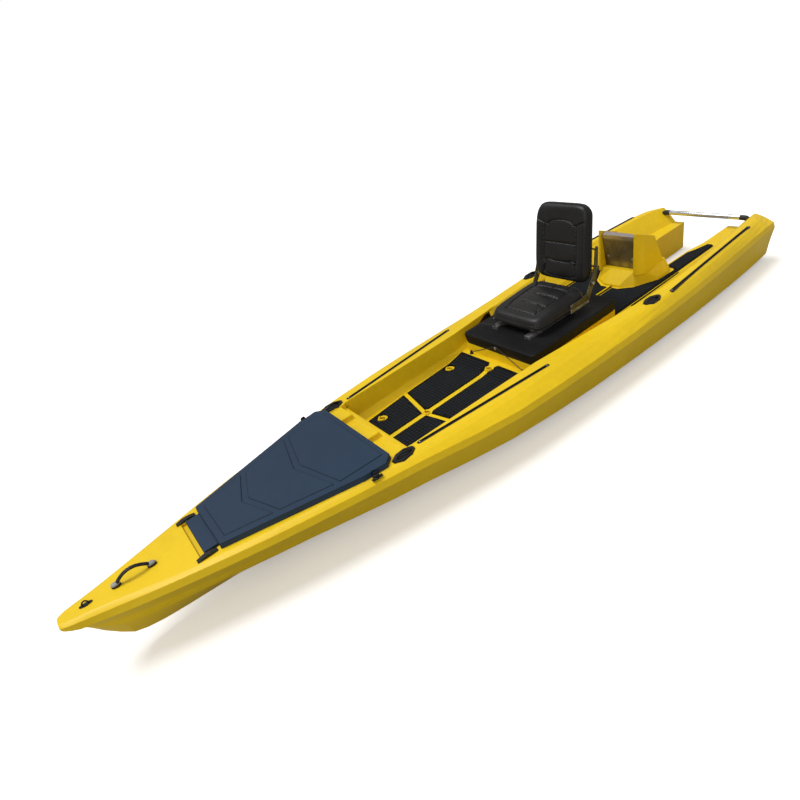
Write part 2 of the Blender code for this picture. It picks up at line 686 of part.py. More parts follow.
def make_hatch(dark, rubber, black, steel):
    outline = lid_outline()
    lid = prism("hatch_lid", outline, GAP, LID_TOP, draft=0.004)
    neck_half = LID_NECK[1]
    nose = []
    for step in range(5):
        angle = math.radians(90 + 180 * step / 4)
        nose.append((HINGE_S + 0.0068 * math.cos(angle), HINGE_H + 0.0068 * math.sin(angle)))
    side = [(LID_SHOULDER[0] + 0.012, LID_NECK_TOP + 0.0005), *nose, (LID_SHOULDER[0] + 0.012, GAP * 2)]
    neck = loft("neck", [[place(x, s, h) for s, h in side] for x in (-neck_half, neck_half)])
    join(lid, neck)
    hollow = [(x, s) for x, s in inset(outline, LID_WALL)]
    hollow = [(x, max(s, LID_HOLLOW_FORE)) for x, s in hollow]
    cut(lid, prism("hollow", hollow, -0.01, LID_TOP - LID_SKIN, draft=0.004))
    border = 0.040
    fore, aft = LID_SHOULDER[0] + 0.036, LID_AFT[0] - 0.028
    sweep_back = 0.072

    def half_width(s):
        share = (s - LID_SHOULDER[0]) / (LID_SIDE[0][0] - LID_SHOULDER[0])
        return min(LID_SHOULDER[1] + (LID_SIDE[0][1] - LID_SHOULDER[1]) * share, LID_SIDE[1][1] - 0.025) - border

    panels = ((fore, 0.0, 0.893, sweep_back), (0.923, sweep_back, 1.170, sweep_back), (1.200, sweep_back, aft, 0.0))
    for start, start_sweep, end, end_sweep in panels:
        half = [(0.0, start - (0.070 if start_sweep else 0.0)), (half_width(start), start)]
        half += [(half_width(end), end), (0.0, end - (0.070 if end_sweep else 0.0))]
        panel = half + [(-x, s) for x, s in reversed(half) if x > 0]
        join(lid, prism("panel", panel, LID_TOP - 0.001, LID_TOP + LID_PANEL_RISE, draft=0.003))
    for name, sign in SIDES:
        notch = (sign * LATCH_X, LATCH_S)
        cut(lid, rod("notch", (*notch, -0.01), (*notch, 0.05), LATCH_NOTCH_R, sides=20))
        bore = [(sign * x, HINGE_S, HINGE_H) for x in (neck_half - 0.022, neck_half + 0.01)]
        cut(lid, rod("bore", *bore, HINGE_PIN_R + PIN_CLEARANCE, sides=16))

        inner = sign * (neck_half + 0.0105)
        outer = sign * (neck_half + 0.0325)
        shape = [(HINGE_S - 0.046, 0.0003), (HINGE_S + 0.046, 0.0003), (HINGE_S + 0.046, 0.005)]
        shape += [(HINGE_S + 0.016, 0.0125), (HINGE_S - 0.012, 0.0125), (HINGE_S - 0.046, 0.005)]
        bracket = loft(f"hinge_bracket_{name}", [[place(x, s, h) for s, h in shape] for x in (inner, outer)])
        middle = (inner + outer) / 2
        pin_end = sign * (neck_half - 0.020)
        eye_end = (inner - sign * 0.01, HINGE_S, HINGE_H)
        cut(bracket, rod("eye", eye_end, (middle, HINGE_S, HINGE_H), HINGE_PIN_R + 0.0002, sides=16))
        join(bracket, screw(middle, HINGE_S - 0.034, 0.0062), screw(middle, HINGE_S + 0.034, 0.0062))
        finish_mesh(bracket, black)
        pin = [(x, HINGE_S, HINGE_H) for x in (middle - sign * GAP, pin_end)]
        rod(f"hinge_pin_{name}", *pin, HINGE_PIN_R, steel, sides=16)
    finish_mesh(lid, dark)

    gasket_low = COAMING_TOP + GAP
    ring = prism("hatch_gasket", hatch_outline(COAMING_WALL), gasket_low, gasket_low + GASKET_HEIGHT)
    cut(ring, prism("ring_inner", hatch_outline(), 0.0, 0.05))
    finish_mesh(ring, rubber)


def make_latches(black):
    for name, sign in SIDES:
        x = sign * LATCH_X
        foot = ((GAP, LATCH_BASE_R), (0.007, LATCH_BASE_R), (0.008, LATCH_BASE_R - 0.002))
        base = revolve(f"latch_base_{name}", (x, LATCH_S, 0.0), (0, 0, 1), foot)
        lug_x = x + sign * 0.009
        join(base, box("lug", (lug_x - 0.0075, LATCH_S - 0.027, GAP), (lug_x + 0.0075, LATCH_S + 0.027, 0.005)))
        for end in (-1, 1):
            join(base, screw(lug_x, LATCH_S + end * 0.0215, 0.005, 0.004))
        join(base, rod("post", (x, LATCH_S, 0.006), (x, LATCH_S, 0.020), 0.004, sides=16))
        finish_mesh(base, black)
        low = 0.008 + GAP
        body = ((low, LATCH_KNOB_R - 0.001), (low + 0.002, LATCH_KNOB_R))
        body += ((low + 0.010, LATCH_KNOB_R), (low + 0.014, LATCH_KNOB_R - 0.004))
        knob = revolve(f"latch_knob_{name}", (x, LATCH_S, 0.0), (0, 0, 1), body)
        wing = [(x + a * 0.003, LATCH_S + b * 0.012) for a, b in ((-1, -1), (1, -1), (1, 1), (-1, 1))]
        join(knob, prism("wing", wing, low + 0.012, low + 0.021, draft=0.002))
        cut(knob, rod("socket", (x, LATCH_S, 0.0), (x, LATCH_S, 0.0203), 0.0043, sides=16))
        finish_mesh(knob, black)


def make_bow_fittings(black, grey):
    fore, aft = BOW_HANDLE
    foot = 0.010
    middle, span = (fore + aft) / 2, (aft - fore) / 2
    route = []
    for step in range(15):
        t = -1 + 2 * step / 14
        s = middle + t * (span - 0.004)
        rise = BOW_HANDLE_RISE * math.cos(t * math.pi / 2) ** 0.8
        route.append(place(0.0, s, deck_height(s) + foot + rise))
    strap = sweep("bow_handle", route, BOW_HANDLE_R, sides=12)
    strap.data.transform(Matrix.Scale(1.45, 4, (1, 0, 0)))
    for index, s in enumerate((fore, aft)):
        h = deck_height(s)
        slant = (deck_height(s + 0.02) - deck_height(s - 0.02)) / 0.04
        outline = []
        for step in range(16):
            angle = 2 * math.pi * step / 16
            outline.append((0.013 * math.cos(angle), s + 0.020 * math.sin(angle)))
        pad = [
            [place(x, y, h + slant * (y - s) + GAP) for x, y in outline],
            [place(x, y, h + slant * (y - s) + 0.011) for x, y in outline],
        ]
        join(strap, loft("pad", pad))
        cap = [
            [place(x, y, h + slant * (y - s) + 0.011 + GAP) for x, y in outline],
            [place(0.8 * x, s + 0.8 * (y - s), h + slant * (y - s) + 0.018) for x, y in outline],
            [place(0.3 * x, s + 0.3 * (y - s), h + slant * (y - s) + 0.0215) for x, y in outline],
        ]
        cap = loft(f"bow_handle_cap_{('fore', 'aft')[index]}", cap)
        keep_out = sweep("keep_out", route, BOW_HANDLE_R + GAP, sides=12)
        keep_out.data.transform(Matrix.Scale(1.45, 4, (1, 0, 0)))
        cut(cap, keep_out)
        finish_mesh(cap, grey)
    finish_mesh(strap, black)

    s = PAD_EYE_S
    h = deck_height(s)
    slant = (deck_height(s + 0.02) - deck_height(s - 0.02)) / 0.04
    outline = []
    for step in range(16):
        angle = 2 * math.pi * step / 16
        outline.append((0.011 * math.cos(angle), s + 0.027 * math.sin(angle)))
    rings = [[place(x, y, h + slant * (y - s) + lift) for x, y in outline] for lift in (GAP, 0.0035)]
    eye = loft("bow_pad_eye", rings)
    route = []
    for step in range(9):
        angle = math.pi * step / 8
        route.append(place(0.0, s - 0.013 * math.cos(angle), h + 0.001 + 0.020 * math.sin(angle)))
    join(eye, sweep("loop", route, 0.0032, sides=10))
    join(eye, screw(0.0, s - 0.0205, h + 0.004, 0.0035), screw(0.0, s + 0.0205, h + 0.003, 0.0035))
    finish_mesh(eye, black)


def make_tracks(black):
    for name, sign in SIDES:
        for place_name, fore, aft in TRACKS:
            outline = track_outline(fore, aft, sign, TRACK_WIDTH / 2, 0.0)
            track = prism(f"gear_track_{place_name}_{name}", outline, -TRACK_DEPTH, TRACK_TOP)
            fore_slot = (fore[0] + (aft[0] - fore[0]) * 0.02, fore[1] + 0.02)
            aft_slot = (aft[0] - (aft[0] - fore[0]) * 0.02, aft[1] - 0.02)
            for extra, low, high in ((0.0, -0.004, 0.01), (TRACK_TEE, -0.009, -0.0035)):
                slot = track_outline(fore_slot, aft_slot, sign, TRACK_SLOT / 2, extra)
                cut(track, prism("slot", slot, low, high))
            finish_mesh(track, black)


def make_handles(black):
    for name, sign in SIDES:
        for place_name, x, s, turn in HANDLES:
            cx, tilt = sign * x, sign * turn
            outline = handle_outline(cx, s, tilt)
            low = GAP - HANDLE_RECESS
            plate = prism(f"carry_handle_{place_name}_{name}", outline, low, 0.007, draft=0.004)
            pocket = []
            c, n = math.cos(math.radians(tilt)), math.sin(math.radians(tilt))
            for step in range(16):
                angle = 2 * math.pi * step / 16
                px, py = 0.024 * math.cos(angle), 0.046 * math.sin(angle)
                pocket.append((cx + c * px - n * py, s + n * px + c * py))
            cut(plate, prism("pocket", pocket, -0.0005, 0.02))
            route = []
            for step in range(9):
                t = -1 + 2 * step / 8
                px, py = sign * 0.006 * math.sin(math.pi * t), 0.054 * t
                lift = 0.003 + 0.013 * math.cos(t * math.pi / 2)
                route.append(place(cx + c * px - n * py, s + n * px + c * py, lift))
            join(plate, sweep("grip", route, 0.0062, sides=10))
            for end in (-1, 1):
                px, py = 0.0, end * 0.061
                join(plate, screw(cx + c * px - n * py, s + n * px + c * py, 0.0065, 0.0038))
            finish_mesh(plate, black)


def floor_slab(name, outline, finish, cutters=()):
    """A mat on the cockpit floor: its outline follows the floor's height fore and aft."""
    made = prism(name, outline, 0.0, MAT_THICKNESS)
    shell = bmesh.new()
    shell.from_mesh(made.data)
    splits = [row[0] for row in TROUGH[1:3]]
    for s in splits:
        y = s - LENGTH / 2
        geometry = shell.verts[:] + shell.edges[:] + shell.faces[:]
        bmesh.ops.bisect_plane(shell, geom=geometry, plane_co=(0, y, 0), plane_no=(0, 1, 0))
    for vert in shell.verts:
        vert.co.z += floor_height(vert.co.y + LENGTH / 2) + GAP
    shell.to_mesh(made.data)
    shell.free()
    cut(made, *cutters)
    return finish_mesh(made, finish)


def make_mats(foam):
    fore, split_out, split_in, aft = 1.596, 1.930, 1.880, 2.412
    front = [(0.018, fore), (0.190, fore), (0.222, fore + 0.05), (0.248, split_out - 0.014), (0.018, split_in - 0.014)]
    rear = [(0.018, split_in + 0.014), (0.250, split_out + 0.014), (0.276, aft), (0.036, aft), (0.018, aft - 0.03)]
    edge = SCUPPER_R + 0.014
    for name, sign in SIDES:
        for place_name, outline in (("front", front), ("rear", rear)):
            shape = [(sign * x, s) for x, s in outline]
            cutters = []
            for x, s in SCUPPERS:
                cutters.append(rod("round", (x, s, -0.2), (x, s, 0.0), edge, sides=16))
            floor_slab(f"floor_mat_{place_name}_{name}", shape, foam, cutters)
    mat_fore = BASE_S[1] + 0.012
    shape = [(0.020, mat_fore), (0.256, mat_fore), (0.256, 3.860), (0.252, 4.300), (0.236, 4.318)]
    shape += [(0.206, 4.318), (0.180, 4.210), (0.156, 4.150), (0.152, 3.905), (0.206, 3.900), (0.2265, 3.870)]
    shape += [(0.218, 3.715), (0.140, 3.560), (0.062, 3.500), (0.020, 3.500)]
    strip = [(0.268, 3.340), (0.276, 3.340), (0.275, 3.850), (0.267, 3.850)]
    for name, sign in SIDES:
        floor_slab(f"rear_mat_{name}", [(sign * x, s) for x, s in shape], foam)
        floor_slab(f"mat_edge_strip_{name}", [(sign * x, s) for x, s in strip], foam)


def make_seat_base(plastic, steel, black, cord):
    fore, aft = BASE_S
    corner = 0.014

    def ring(grow, h):
        half = [(BASE_HALF + grow - corner, fore - grow), (BASE_HALF + grow, fore - grow + corner)]
        half += [(BASE_HALF + grow, aft + grow - corner), (BASE_HALF + grow - corner, aft + grow)]
        return [place(x, s, h) for x, s in half] + [place(-x, s, h) for x, s in reversed(half)]

    steps = ((-0.010, BASE_BOTTOM), (-0.004, BASE_BOTTOM + 0.020), (0.0, BASE_TOP - 0.007), (-0.006, BASE_TOP))
    base = loft("seat_base", [ring(grow, h) for grow, h in steps])
    inner = loft("inside", [ring(-0.030, BASE_BOTTOM - 0.01), ring(-0.016, BASE_TOP - BASE_WALL)])
    cut(base, inner)
    low = (-PANEL_HALF, fore + PANEL_MARGIN, BASE_TOP - 0.002)
    join(base, box("grip_panel", low, (PANEL_HALF, RAIL_S[0] - PANEL_MARGIN / 2, BASE_TOP + PANEL_RISE)))
    hook_h = -0.022
    face_s = fore + 0.0015
    cut(base, rod("hook_hole", (0, fore - 0.03, hook_h), (0, fore + 0.05, hook_h), 0.0044, sides=16))
    finish_mesh(base, plastic)
    hook = ((-0.016, 0.004), (0.009, 0.004), (0.0095, 0.0085), (0.013, 0.0085), (0.015, 0.004))
    revolve("bungee_hook", (0, face_s, hook_h), (0, -1, 0), hook, steel, sides=16)

    eye_x, eye_s = BUNGEE_EYE
    eye_h = floor_height(eye_s)
    cord_r = BUNGEE_R
    ring_h = eye_h + 0.014
    wrap = 0.004 + cord_r + GAP
    cord_s = fore - 0.0045
    start = np.array((eye_x - 0.006, ring_h))
    hub = np.array((0.0, hook_h))
    toward = start - hub
    reach = float(np.linalg.norm(toward))
    tangent = math.atan2(toward[1], toward[0]) + math.acos(wrap / reach)
    points = []
    for step in range(11):
        angle = tangent + (math.pi - 2 * tangent) * step / 10
        points.append((wrap * math.cos(angle), cord_s, hook_h + wrap * math.sin(angle)))
    route = [(start[0], eye_s, start[1]), *points, (-start[0], eye_s, start[1])]
    curve = bpy.data.curves.new("bungee_cord", "CURVE")
    curve.dimensions = "3D"
    line = curve.splines.new("POLY")
    line.points.add(len(route) - 1)
    for point, (x, s, h) in zip(line.points, route):
        point.co = (*place(x, s, h), 1.0)
    curve.bevel_depth = cord_r
    curve.bevel_resolution = 2
    curve.use_fill_caps = True
    curve.materials.append(cord)
    made = bpy.data.objects.new("bungee_cord", curve)
    bpy.context.scene.collection.objects.link(made)

    away = np.array(points[0]) - np.array(route[0])
    away /= np.linalg.norm(away)
    post = ((GAP, 0.012), (0.003, 0.012), (0.007, 0.0085), (0.020, 0.0075), (0.023, 0.004))
    for name, sign in SIDES:
        x = sign * eye_x
        eye = revolve(f"bungee_eye_{name}", (x, eye_s, eye_h), (0, 0, 1), post, sides=16)
        tip = np.array((sign * route[0][0], eye_s, ring_h))
        pull = np.array((sign * away[0], away[1], away[2]))
        hole_end = tuple(tip + 0.03 * pull)
        cut(eye, rod("cord_hole", tuple(tip - GAP * pull), hole_end, cord_r + GAP, sides=16))
        finish_mesh(eye, black)


def make_slide(steel, black):
    lift = BASE_TOP + GAP
    fore, aft = RAIL_S
    for name, sign in SIDES:
        x = sign * RAIL_X
        half, sheet, lip = RAIL_WIDTH / 2, RAIL_SHEET, 0.009
        mouth, under = lip + 0.001, RAIL_HEIGHT - sheet
        right = [(half, 0), (half, RAIL_HEIGHT), (mouth, RAIL_HEIGHT), (mouth, under)]
        right += [(half - sheet, under), (half - sheet, sheet)]
        lower = right + [(-a, h) for a, h in reversed(right)]
        rail = loft(f"slide_rail_lower_{name}", [[place(x + a, s, lift + h) for a, h in lower] for s in (fore, aft)])
        for s in (fore + 0.03, aft - 0.03):
            join(rail, rod("foot_bolt", (x, s, lift + sheet / 2), (x, s, lift + sheet + 0.0018), 0.006, sides=12))
        finish_mesh(rail, steel)
        inner = half - sheet - 0.0008
        low, mid, top = sheet + 0.0026, RAIL_HEIGHT - sheet - 0.0008, RAIL_HEIGHT + RAIL_LIFT
        flange = half - 0.001
        right = [(inner, low), (inner, mid), (lip, mid), (lip, top), (flange, top), (flange, top + sheet)]
        upper = right + [(-a, h) for a, h in reversed(right)]
        rings = [[place(x + a, s, lift + h) for a, h in upper] for s in (fore, aft)]
        finish_mesh(loft(f"slide_rail_upper_{name}", rings), steel)

    height = lift + RAIL_HEIGHT + RAIL_LIFT + RAIL_SHEET
    x, s = LEVER_X, LEVER_S
    lever = revolve("slide_lever", (x, s, height), (0, 0, 1), ((GAP, 0.007), (0.0048, 0.007)), sides=16)
    arm = [(x - 0.005, s - 0.004), (x - 0.045, s - 0.022), (x - 0.085, s - 0.026)]
    arm += [(x - 0.087, s - 0.016), (x - 0.045, s - 0.010), (x - 0.005, s + 0.005)]
    join(lever, prism("arm", arm, height + 0.0008, height + 0.0042))
    return finish_mesh(lever, black)


def cushion(name, width, depth, crown, channels, border, to_world, finish):
    """A sewn pad: crowned face, drawn-in sides, a welt round its edge and pressed channels.

    width(v) gives the half width at a share v of the depth, crown(u, v) the face's rise, and to_world places
    (across, along, up). channels are shares of the depth, and border the share of the half width with the side seams.
    """
    rounding, dip_depth, seam, channel = 0.22, 0.0055, 0.035, 0.022
    beside = (-1, 0, 1)
    across = {*np.linspace(-1, 1, 17), *(sign * (border + seam * k) for sign in (-1, 1) for k in beside)}
    across = sorted(across)
    along = sorted({*np.linspace(0, 1, 15), *(c + channel * k for c in channels for k in beside)})

    def corner(u, v):
        w = 2 * v - 1
        reach = max(abs(u), abs(w))
        if reach < 1e-9:
            return u, w
        p = 5.0
        scale = reach / (abs(u) ** p + abs(w) ** p) ** (1 / p)
        return u * scale, w * scale

    def sewn(u, v):
        dip = 0.0
        if abs(u) < border:
            for c in channels:
                dip = max(dip, dip_depth * max(0.0, 1 - abs(v - c) / channel))
        if channels[0] - 0.001 <= v <= channels[-1] + 0.001:
            dip = max(dip, dip_depth * max(0.0, 1 - abs(abs(u) - border) / seam))
        return dip

    top, bottom = [], []
    for v in along:
        for u in across:
            a, b = corner(u, v)
            edge = max(abs(u), abs(2 * v - 1))
            fall = 1 - max(0.0, (edge - (1 - rounding)) / rounding) ** 2.4
            share = (b + 1) / 2
            rise = crown(a, share) * (0.42 + 0.58 * max(fall, 0.0) ** 0.5) - sewn(u, v) * (edge < 0.97)
            top.append(to_world(a * width(share), share * depth, rise))
            bottom.append(to_world(a * width(share) * 0.955, (share * 0.955 + 0.0225) * depth, 0.0))
    columns, rows = len(across), len(along)
    points = list(top)
    faces = []
    for j in range(rows - 1):
        for i in range(columns - 1):
            k = j * columns + i
            faces.append((k, k + 1, k + columns + 1, k + columns))
    rim = list(range(columns))
    rim += [j * columns + columns - 1 for j in range(1, rows)]
    rim += [(rows - 1) * columns + i for i in range(columns - 2, -1, -1)]
    rim += [j * columns for j in range(rows - 2, 0, -1)]
    lower = len(points)
    for index in rim:
        points.append(bottom[index])
    count = len(rim)
    for k in range(count):
        nxt = (k + 1) % count
        faces.append((rim[k], rim[nxt], lower + nxt, lower + k))
    faces.append(tuple(lower + k for k in range(count)))
    made = solid(name, points, faces, finish)
    return finish_mesh(made, finish, 60.0)


def rounded_plate(half_foot, half_top, height, corner, grow=0.0):
    """Upright outline of the back: (across, up) points with round top corners."""
    outline = [(half_foot + grow - 0.02, -grow), (half_foot + grow, 0.02 - grow)]
    for step in range(5):
        angle = math.radians(90 * step / 4)
        drawn_in = (corner * (1 - math.cos(angle)), corner * (1 - math.sin(angle)))
        outline.append((half_top + grow - drawn_in[0], height + grow - drawn_in[1]))
    return outline + [(-x, h) for x, h in reversed(outline)]


def make_seat(vinyl, steel, olive, bolt_steel, black):
    fore, aft = CUSHION_S
    length = aft - fore

    def seat_place(across, along, up):
        s = fore + along
        return place(across, s, CUSHION_BOTTOM + up)

    def seat_width(v):
        return CUSHION_HALF - 0.010 * (1 - v)

    def seat_crown(u, v):
        top = CUSHION_FRONT_TOP + (CUSHION_REAR_TOP - CUSHION_FRONT_TOP) * v - CUSHION_BOTTOM
        return top + 0.010 * (1 - u * u) * math.sin(math.pi * min(max(v, 0.0), 1.0)) - 0.004 * (1 - abs(u) ** 3)

    cushion("seat_cushion", seat_width, length, seat_crown, (0.14, 0.36, 0.60, 0.82), 0.66, seat_place, vinyl)

    foot_s, foot_h = BACK_FOOT

    def back_place(across, along, up):
        lean = math.radians(BACK_LEAN)
        s = foot_s + along * math.sin(lean) - up * math.cos(lean)
        h = foot_h + along * math.cos(lean) + up * math.sin(lean)
        return place(across, s, h)

    def back_width(v):
        return BACK_HALF_FOOT + (BACK_HALF_TOP - BACK_HALF_FOOT) * v

    def back_crown(u, v):
        bolster = 0.008 * abs(u) ** 2
        return BACK_THICKNESS * (0.92 + 0.06 * math.sin(math.pi * v)) + bolster - 0.006

    cushion("back_cushion", back_width, BACK_HEIGHT, back_crown, (0.04, 0.30, 0.56, 0.82), 0.66, back_place, vinyl)

    rings = []
    for grow, behind in ((-0.018, GAP), (-0.018, BACK_SHELL_DEPTH - 0.008), (-0.030, BACK_SHELL_DEPTH)):
        outline = rounded_plate(BACK_HALF_FOOT, BACK_HALF_TOP, BACK_HEIGHT, 0.05, grow)
        rings.append([back_place(x, h, -behind) for x, h in outline])
    shell = loft("back_shell", rings)
    finish_mesh(shell, black)

    pan_low = BASE_TOP + GAP + RAIL_HEIGHT + RAIL_LIFT + RAIL_SHEET + GAP

    def pan_ring(inwards, h):
        half, start, end = CUSHION_HALF - inwards, fore + inwards, aft - inwards
        return [place(x, s, h) for x, s in ((-half, start), (half, start), (half, end), (-half, end))]

    pan = loft("seat_pan", [pan_ring(0.052, pan_low), pan_ring(0.012, CUSHION_BOTTOM - GAP)])
    dish = [pan_ring(0.057, pan_low + PAN_SHEET), pan_ring(0.013, CUSHION_BOTTOM + PAN_SHEET)]
    cut(pan, loft("dish", dish))
    for _, sign in SIDES:
        wing_x = BRACKET_X - GAP
        low, high = CUSHION_BOTTOM - 0.006, BRACKET_REAR_BOLT[1] + 0.012
        s0, s1 = BRACKET_FRONT_BOLT[0] - 0.012, BRACKET_REAR_BOLT[0] + 0.014
        for part_name, inner_x, top in (("wing", wing_x - PAN_SHEET, high), ("tab", 0.150, low + PAN_SHEET)):
            x0, x1 = sorted((sign * inner_x, sign * wing_x))
            join(pan, box(part_name, (x0, s0, low), (x1, s1, top)))
    finish_mesh(pan, steel)

    def strip_outline(points, widths):
        """Plan of a bent flat bar in (s, h), round at both ends."""
        path = [np.array(point) for point in points]
        last = len(path) - 1

        def directions(index):
            along = path[min(index + 1, last)] - path[max(index - 1, 0)]
            along = along / np.linalg.norm(along)
            return along, np.array((-along[1], along[0]))

        def round_end(index, start):
            along, across = directions(index)
            turns = [math.radians(start + 180 * step / 4) for step in range(5)]
            half = widths[index] / 2
            return [path[index] + half * (math.cos(turn) * along + math.sin(turn) * across) for turn in turns]

        def edge(side, order):
            return [path[index] + side * widths[index] / 2 * directions(index)[1] for index in order]

        middle = range(1, last)
        outline = round_end(0, 90) + edge(-1, middle) + round_end(last, -90) + edge(1, reversed(middle))
        return [tuple(point) for point in outline]

    def bar(name, points, widths, x0, x1):
        outline = strip_outline(points, widths)
        return loft(name, [[place(x, s, h) for s, h in outline] for x in (x0, x1)])

    for name, sign in SIDES:
        x0, x1 = sign * BRACKET_X, sign * (BRACKET_X + BRACKET_THICKNESS)
        x2, x3 = x1 + sign * GAP, x1 + sign * (BRACKET_THICKNESS + GAP)
        route = [BRACKET_FRONT_BOLT, BRACKET_REAR_BOLT, PIVOT]
        lower = bar(f"recliner_lower_{name}", route, [0.026, 0.044, 0.040], x0, x1)
        beyond = sign * 0.01
        cut(lower, rod("pivot_bore", (x0 - beyond, *PIVOT), (x1 + beyond, *PIVOT), PIVOT_R + GAP, sides=20))
        for s, h in (BRACKET_FRONT_BOLT, BRACKET_REAR_BOLT):
            join(lower, rod("head", (x1 - sign * 0.001, s, h), (x1 + sign * 0.0045, s, h), 0.0065, sides=6))
        finish_mesh(lower, olive)
        top = BRACKET_UPPER_BOLTS[-1]
        route = [PIVOT, BRACKET_UPPER_BOLTS[0], (top[0], top[1] + 0.006)]
        upper = bar(f"recliner_upper_{name}", route, [0.042, 0.032, 0.026], x2, x3)
        cut(upper, rod("pivot_bore", (x2 - beyond, *PIVOT), (x3 + beyond, *PIVOT), PIVOT_R + GAP, sides=20))
        for s, h in BRACKET_UPPER_BOLTS:
            join(upper, rod("head", (x3 - sign * 0.001, s, h), (x3 + sign * 0.0045, s, h), 0.0065, sides=6))
            stud_end = BACK_HALF_FOOT - 0.030
            join(upper, rod("stud", (x2 + sign * 0.001, s, h), (sign * stud_end, s, h), STUD_R, sides=12))
            for pierced in ("back_shell", "back_cushion"):
                hole = [(sign * x, s, h) for x in (0.25, stud_end - 0.001)]
                cut(bpy.data.objects[pierced], rod("stud_hole", *hole, STUD_R + GAP, sides=12))
        finish_mesh(upper, olive)
        near, far = BRACKET_X - GAP, BRACKET_X + 2 * BRACKET_THICKNESS + 2 * GAP
        bolt = ((BRACKET_X - 0.006, 0.009), (near, 0.009), (near, PIVOT_R))
        bolt += ((far, PIVOT_R), (far, 0.010), (far + 0.0044, 0.0085))
        revolve(f"pivot_bolt_{name}", (0, *PIVOT), (sign, 0, 0), bolt, bolt_steel, sides=20)


def make_transom(wood, plate_steel, steel):
    board_top = BOARD_HEIGHT - PLATE_SHEET - GAP
    board = board_box("transom_board", CHEEK_INNER - 0.002, 0.0, BOARD_THICKNESS, 0.0, board_top)
    plate_half = CHEEK_INNER - 0.003
    sheet, top, deep = PLATE_SHEET, BOARD_HEIGHT, BOARD_THICKNESS
    front, lip = -sheet - PLATE_HEM, top - PLATE_LIP
    fold = [(-sheet, PLATE_FOOT), (-sheet, lip), (front, lip), (front, top)]
    fold += [(deep + sheet, top), (deep + sheet, PLATE_FOOT), (deep + GAP, PLATE_FOOT)]
    fold += [(deep + GAP, top - sheet), (-GAP, top - sheet), (-GAP, PLATE_FOOT)]
    foot_s, foot_h = BOARD_FOOT
    rings = [[place(x, foot_s + s, foot_h + h) for s, h in fold] for x in (-plate_half, plate_half)]
    plate = loft("transom_plate", rings)
    leaning(plate, BOARD_FOOT, -BOARD_LEAN)
    s, h = BOARD_FOOT
    for index, (x, up) in enumerate(BOARD_BOLTS):
        for piece in (board, plate):
            hole = rod("bolt_hole", (x, s - 0.05, h + up), (x, s + 0.10, h + up), 0.0043, sides=16)
            cut(piece, leaning(hole, BOARD_FOOT, -BOARD_LEAN))
        front, back = -sheet - GAP, deep + sheet + GAP
        profile = ((front - 0.005, 0.0055), (front, 0.0075), (front, 0.004))
        profile += ((back, 0.004), (back, 0.0075), (back + 0.006, 0.0075))
        name = f"transom_bolt_{('starboard', 'port')[index]}"
        bolt = revolve(name, (x, s, h + up), (0, 1, 0), profile, steel, sides=16)
        leaning(bolt, BOARD_FOOT, -BOARD_LEAN)
    finish_mesh(board, wood)
    finish_mesh(plate, plate_steel)


def make_stern(aluminium, rubber, black):
    rod("stern_bar", (-BAR_HALF, BAR_S, BAR_H), (BAR_HALF, BAR_S, BAR_H), BAR_R, aluminium)
    floor = TROUGH[-1][2]
    for name, sign in SIDES:
        route = [place(sign * (BAR_HALF - 0.022), BAR_S, BAR_H)]
        bend_x = BAR_HALF + 0.006
        for step in range(7):
            angle = math.radians(90 * step / 6)
            out, down = ELBOW_BEND * math.sin(angle), ELBOW_BEND * (1 - math.cos(angle))
            route.append(place(sign * (bend_x + out), BAR_S, BAR_H - down))
        route.append(place(sign * (bend_x + ELBOW_BEND), BAR_S, floor + GAP))
        elbow = sweep(f"bar_elbow_{name}", route, ELBOW_R, sides=16)
        cut(elbow, rod("socket", (0, BAR_S, BAR_H), (sign * (BAR_HALF + GAP), BAR_S, BAR_H), BAR_R + GAP))
        combine(elbow, [trough_cutter("clear", -GAP)], "INTERSECT")
        finish_mesh(elbow, rubber)
    seat = GAP - DRAIN_POCKET
    profile = ((seat - 0.016, DRAIN_R), (seat, DRAIN_R), (seat, DRAIN_FLANGE_R), (seat + 0.004, DRAIN_FLANGE_R - 0.001))
    profile += ((seat + 0.0045, 0.010), (-0.001, 0.009))
    revolve("drain_plug", (DRAIN_X, LENGTH, DRAIN_H), (0, 1, 0), profile, black, sides=16)


def set_origin(name, point):
    """Puts the origin of a moving piece on its joint axis and leaves its surface where it is."""
    piece = bpy.data.objects[name]
    at = Vector(point)
    piece.data.transform(Matrix.Translation(-at))
    piece.location = at


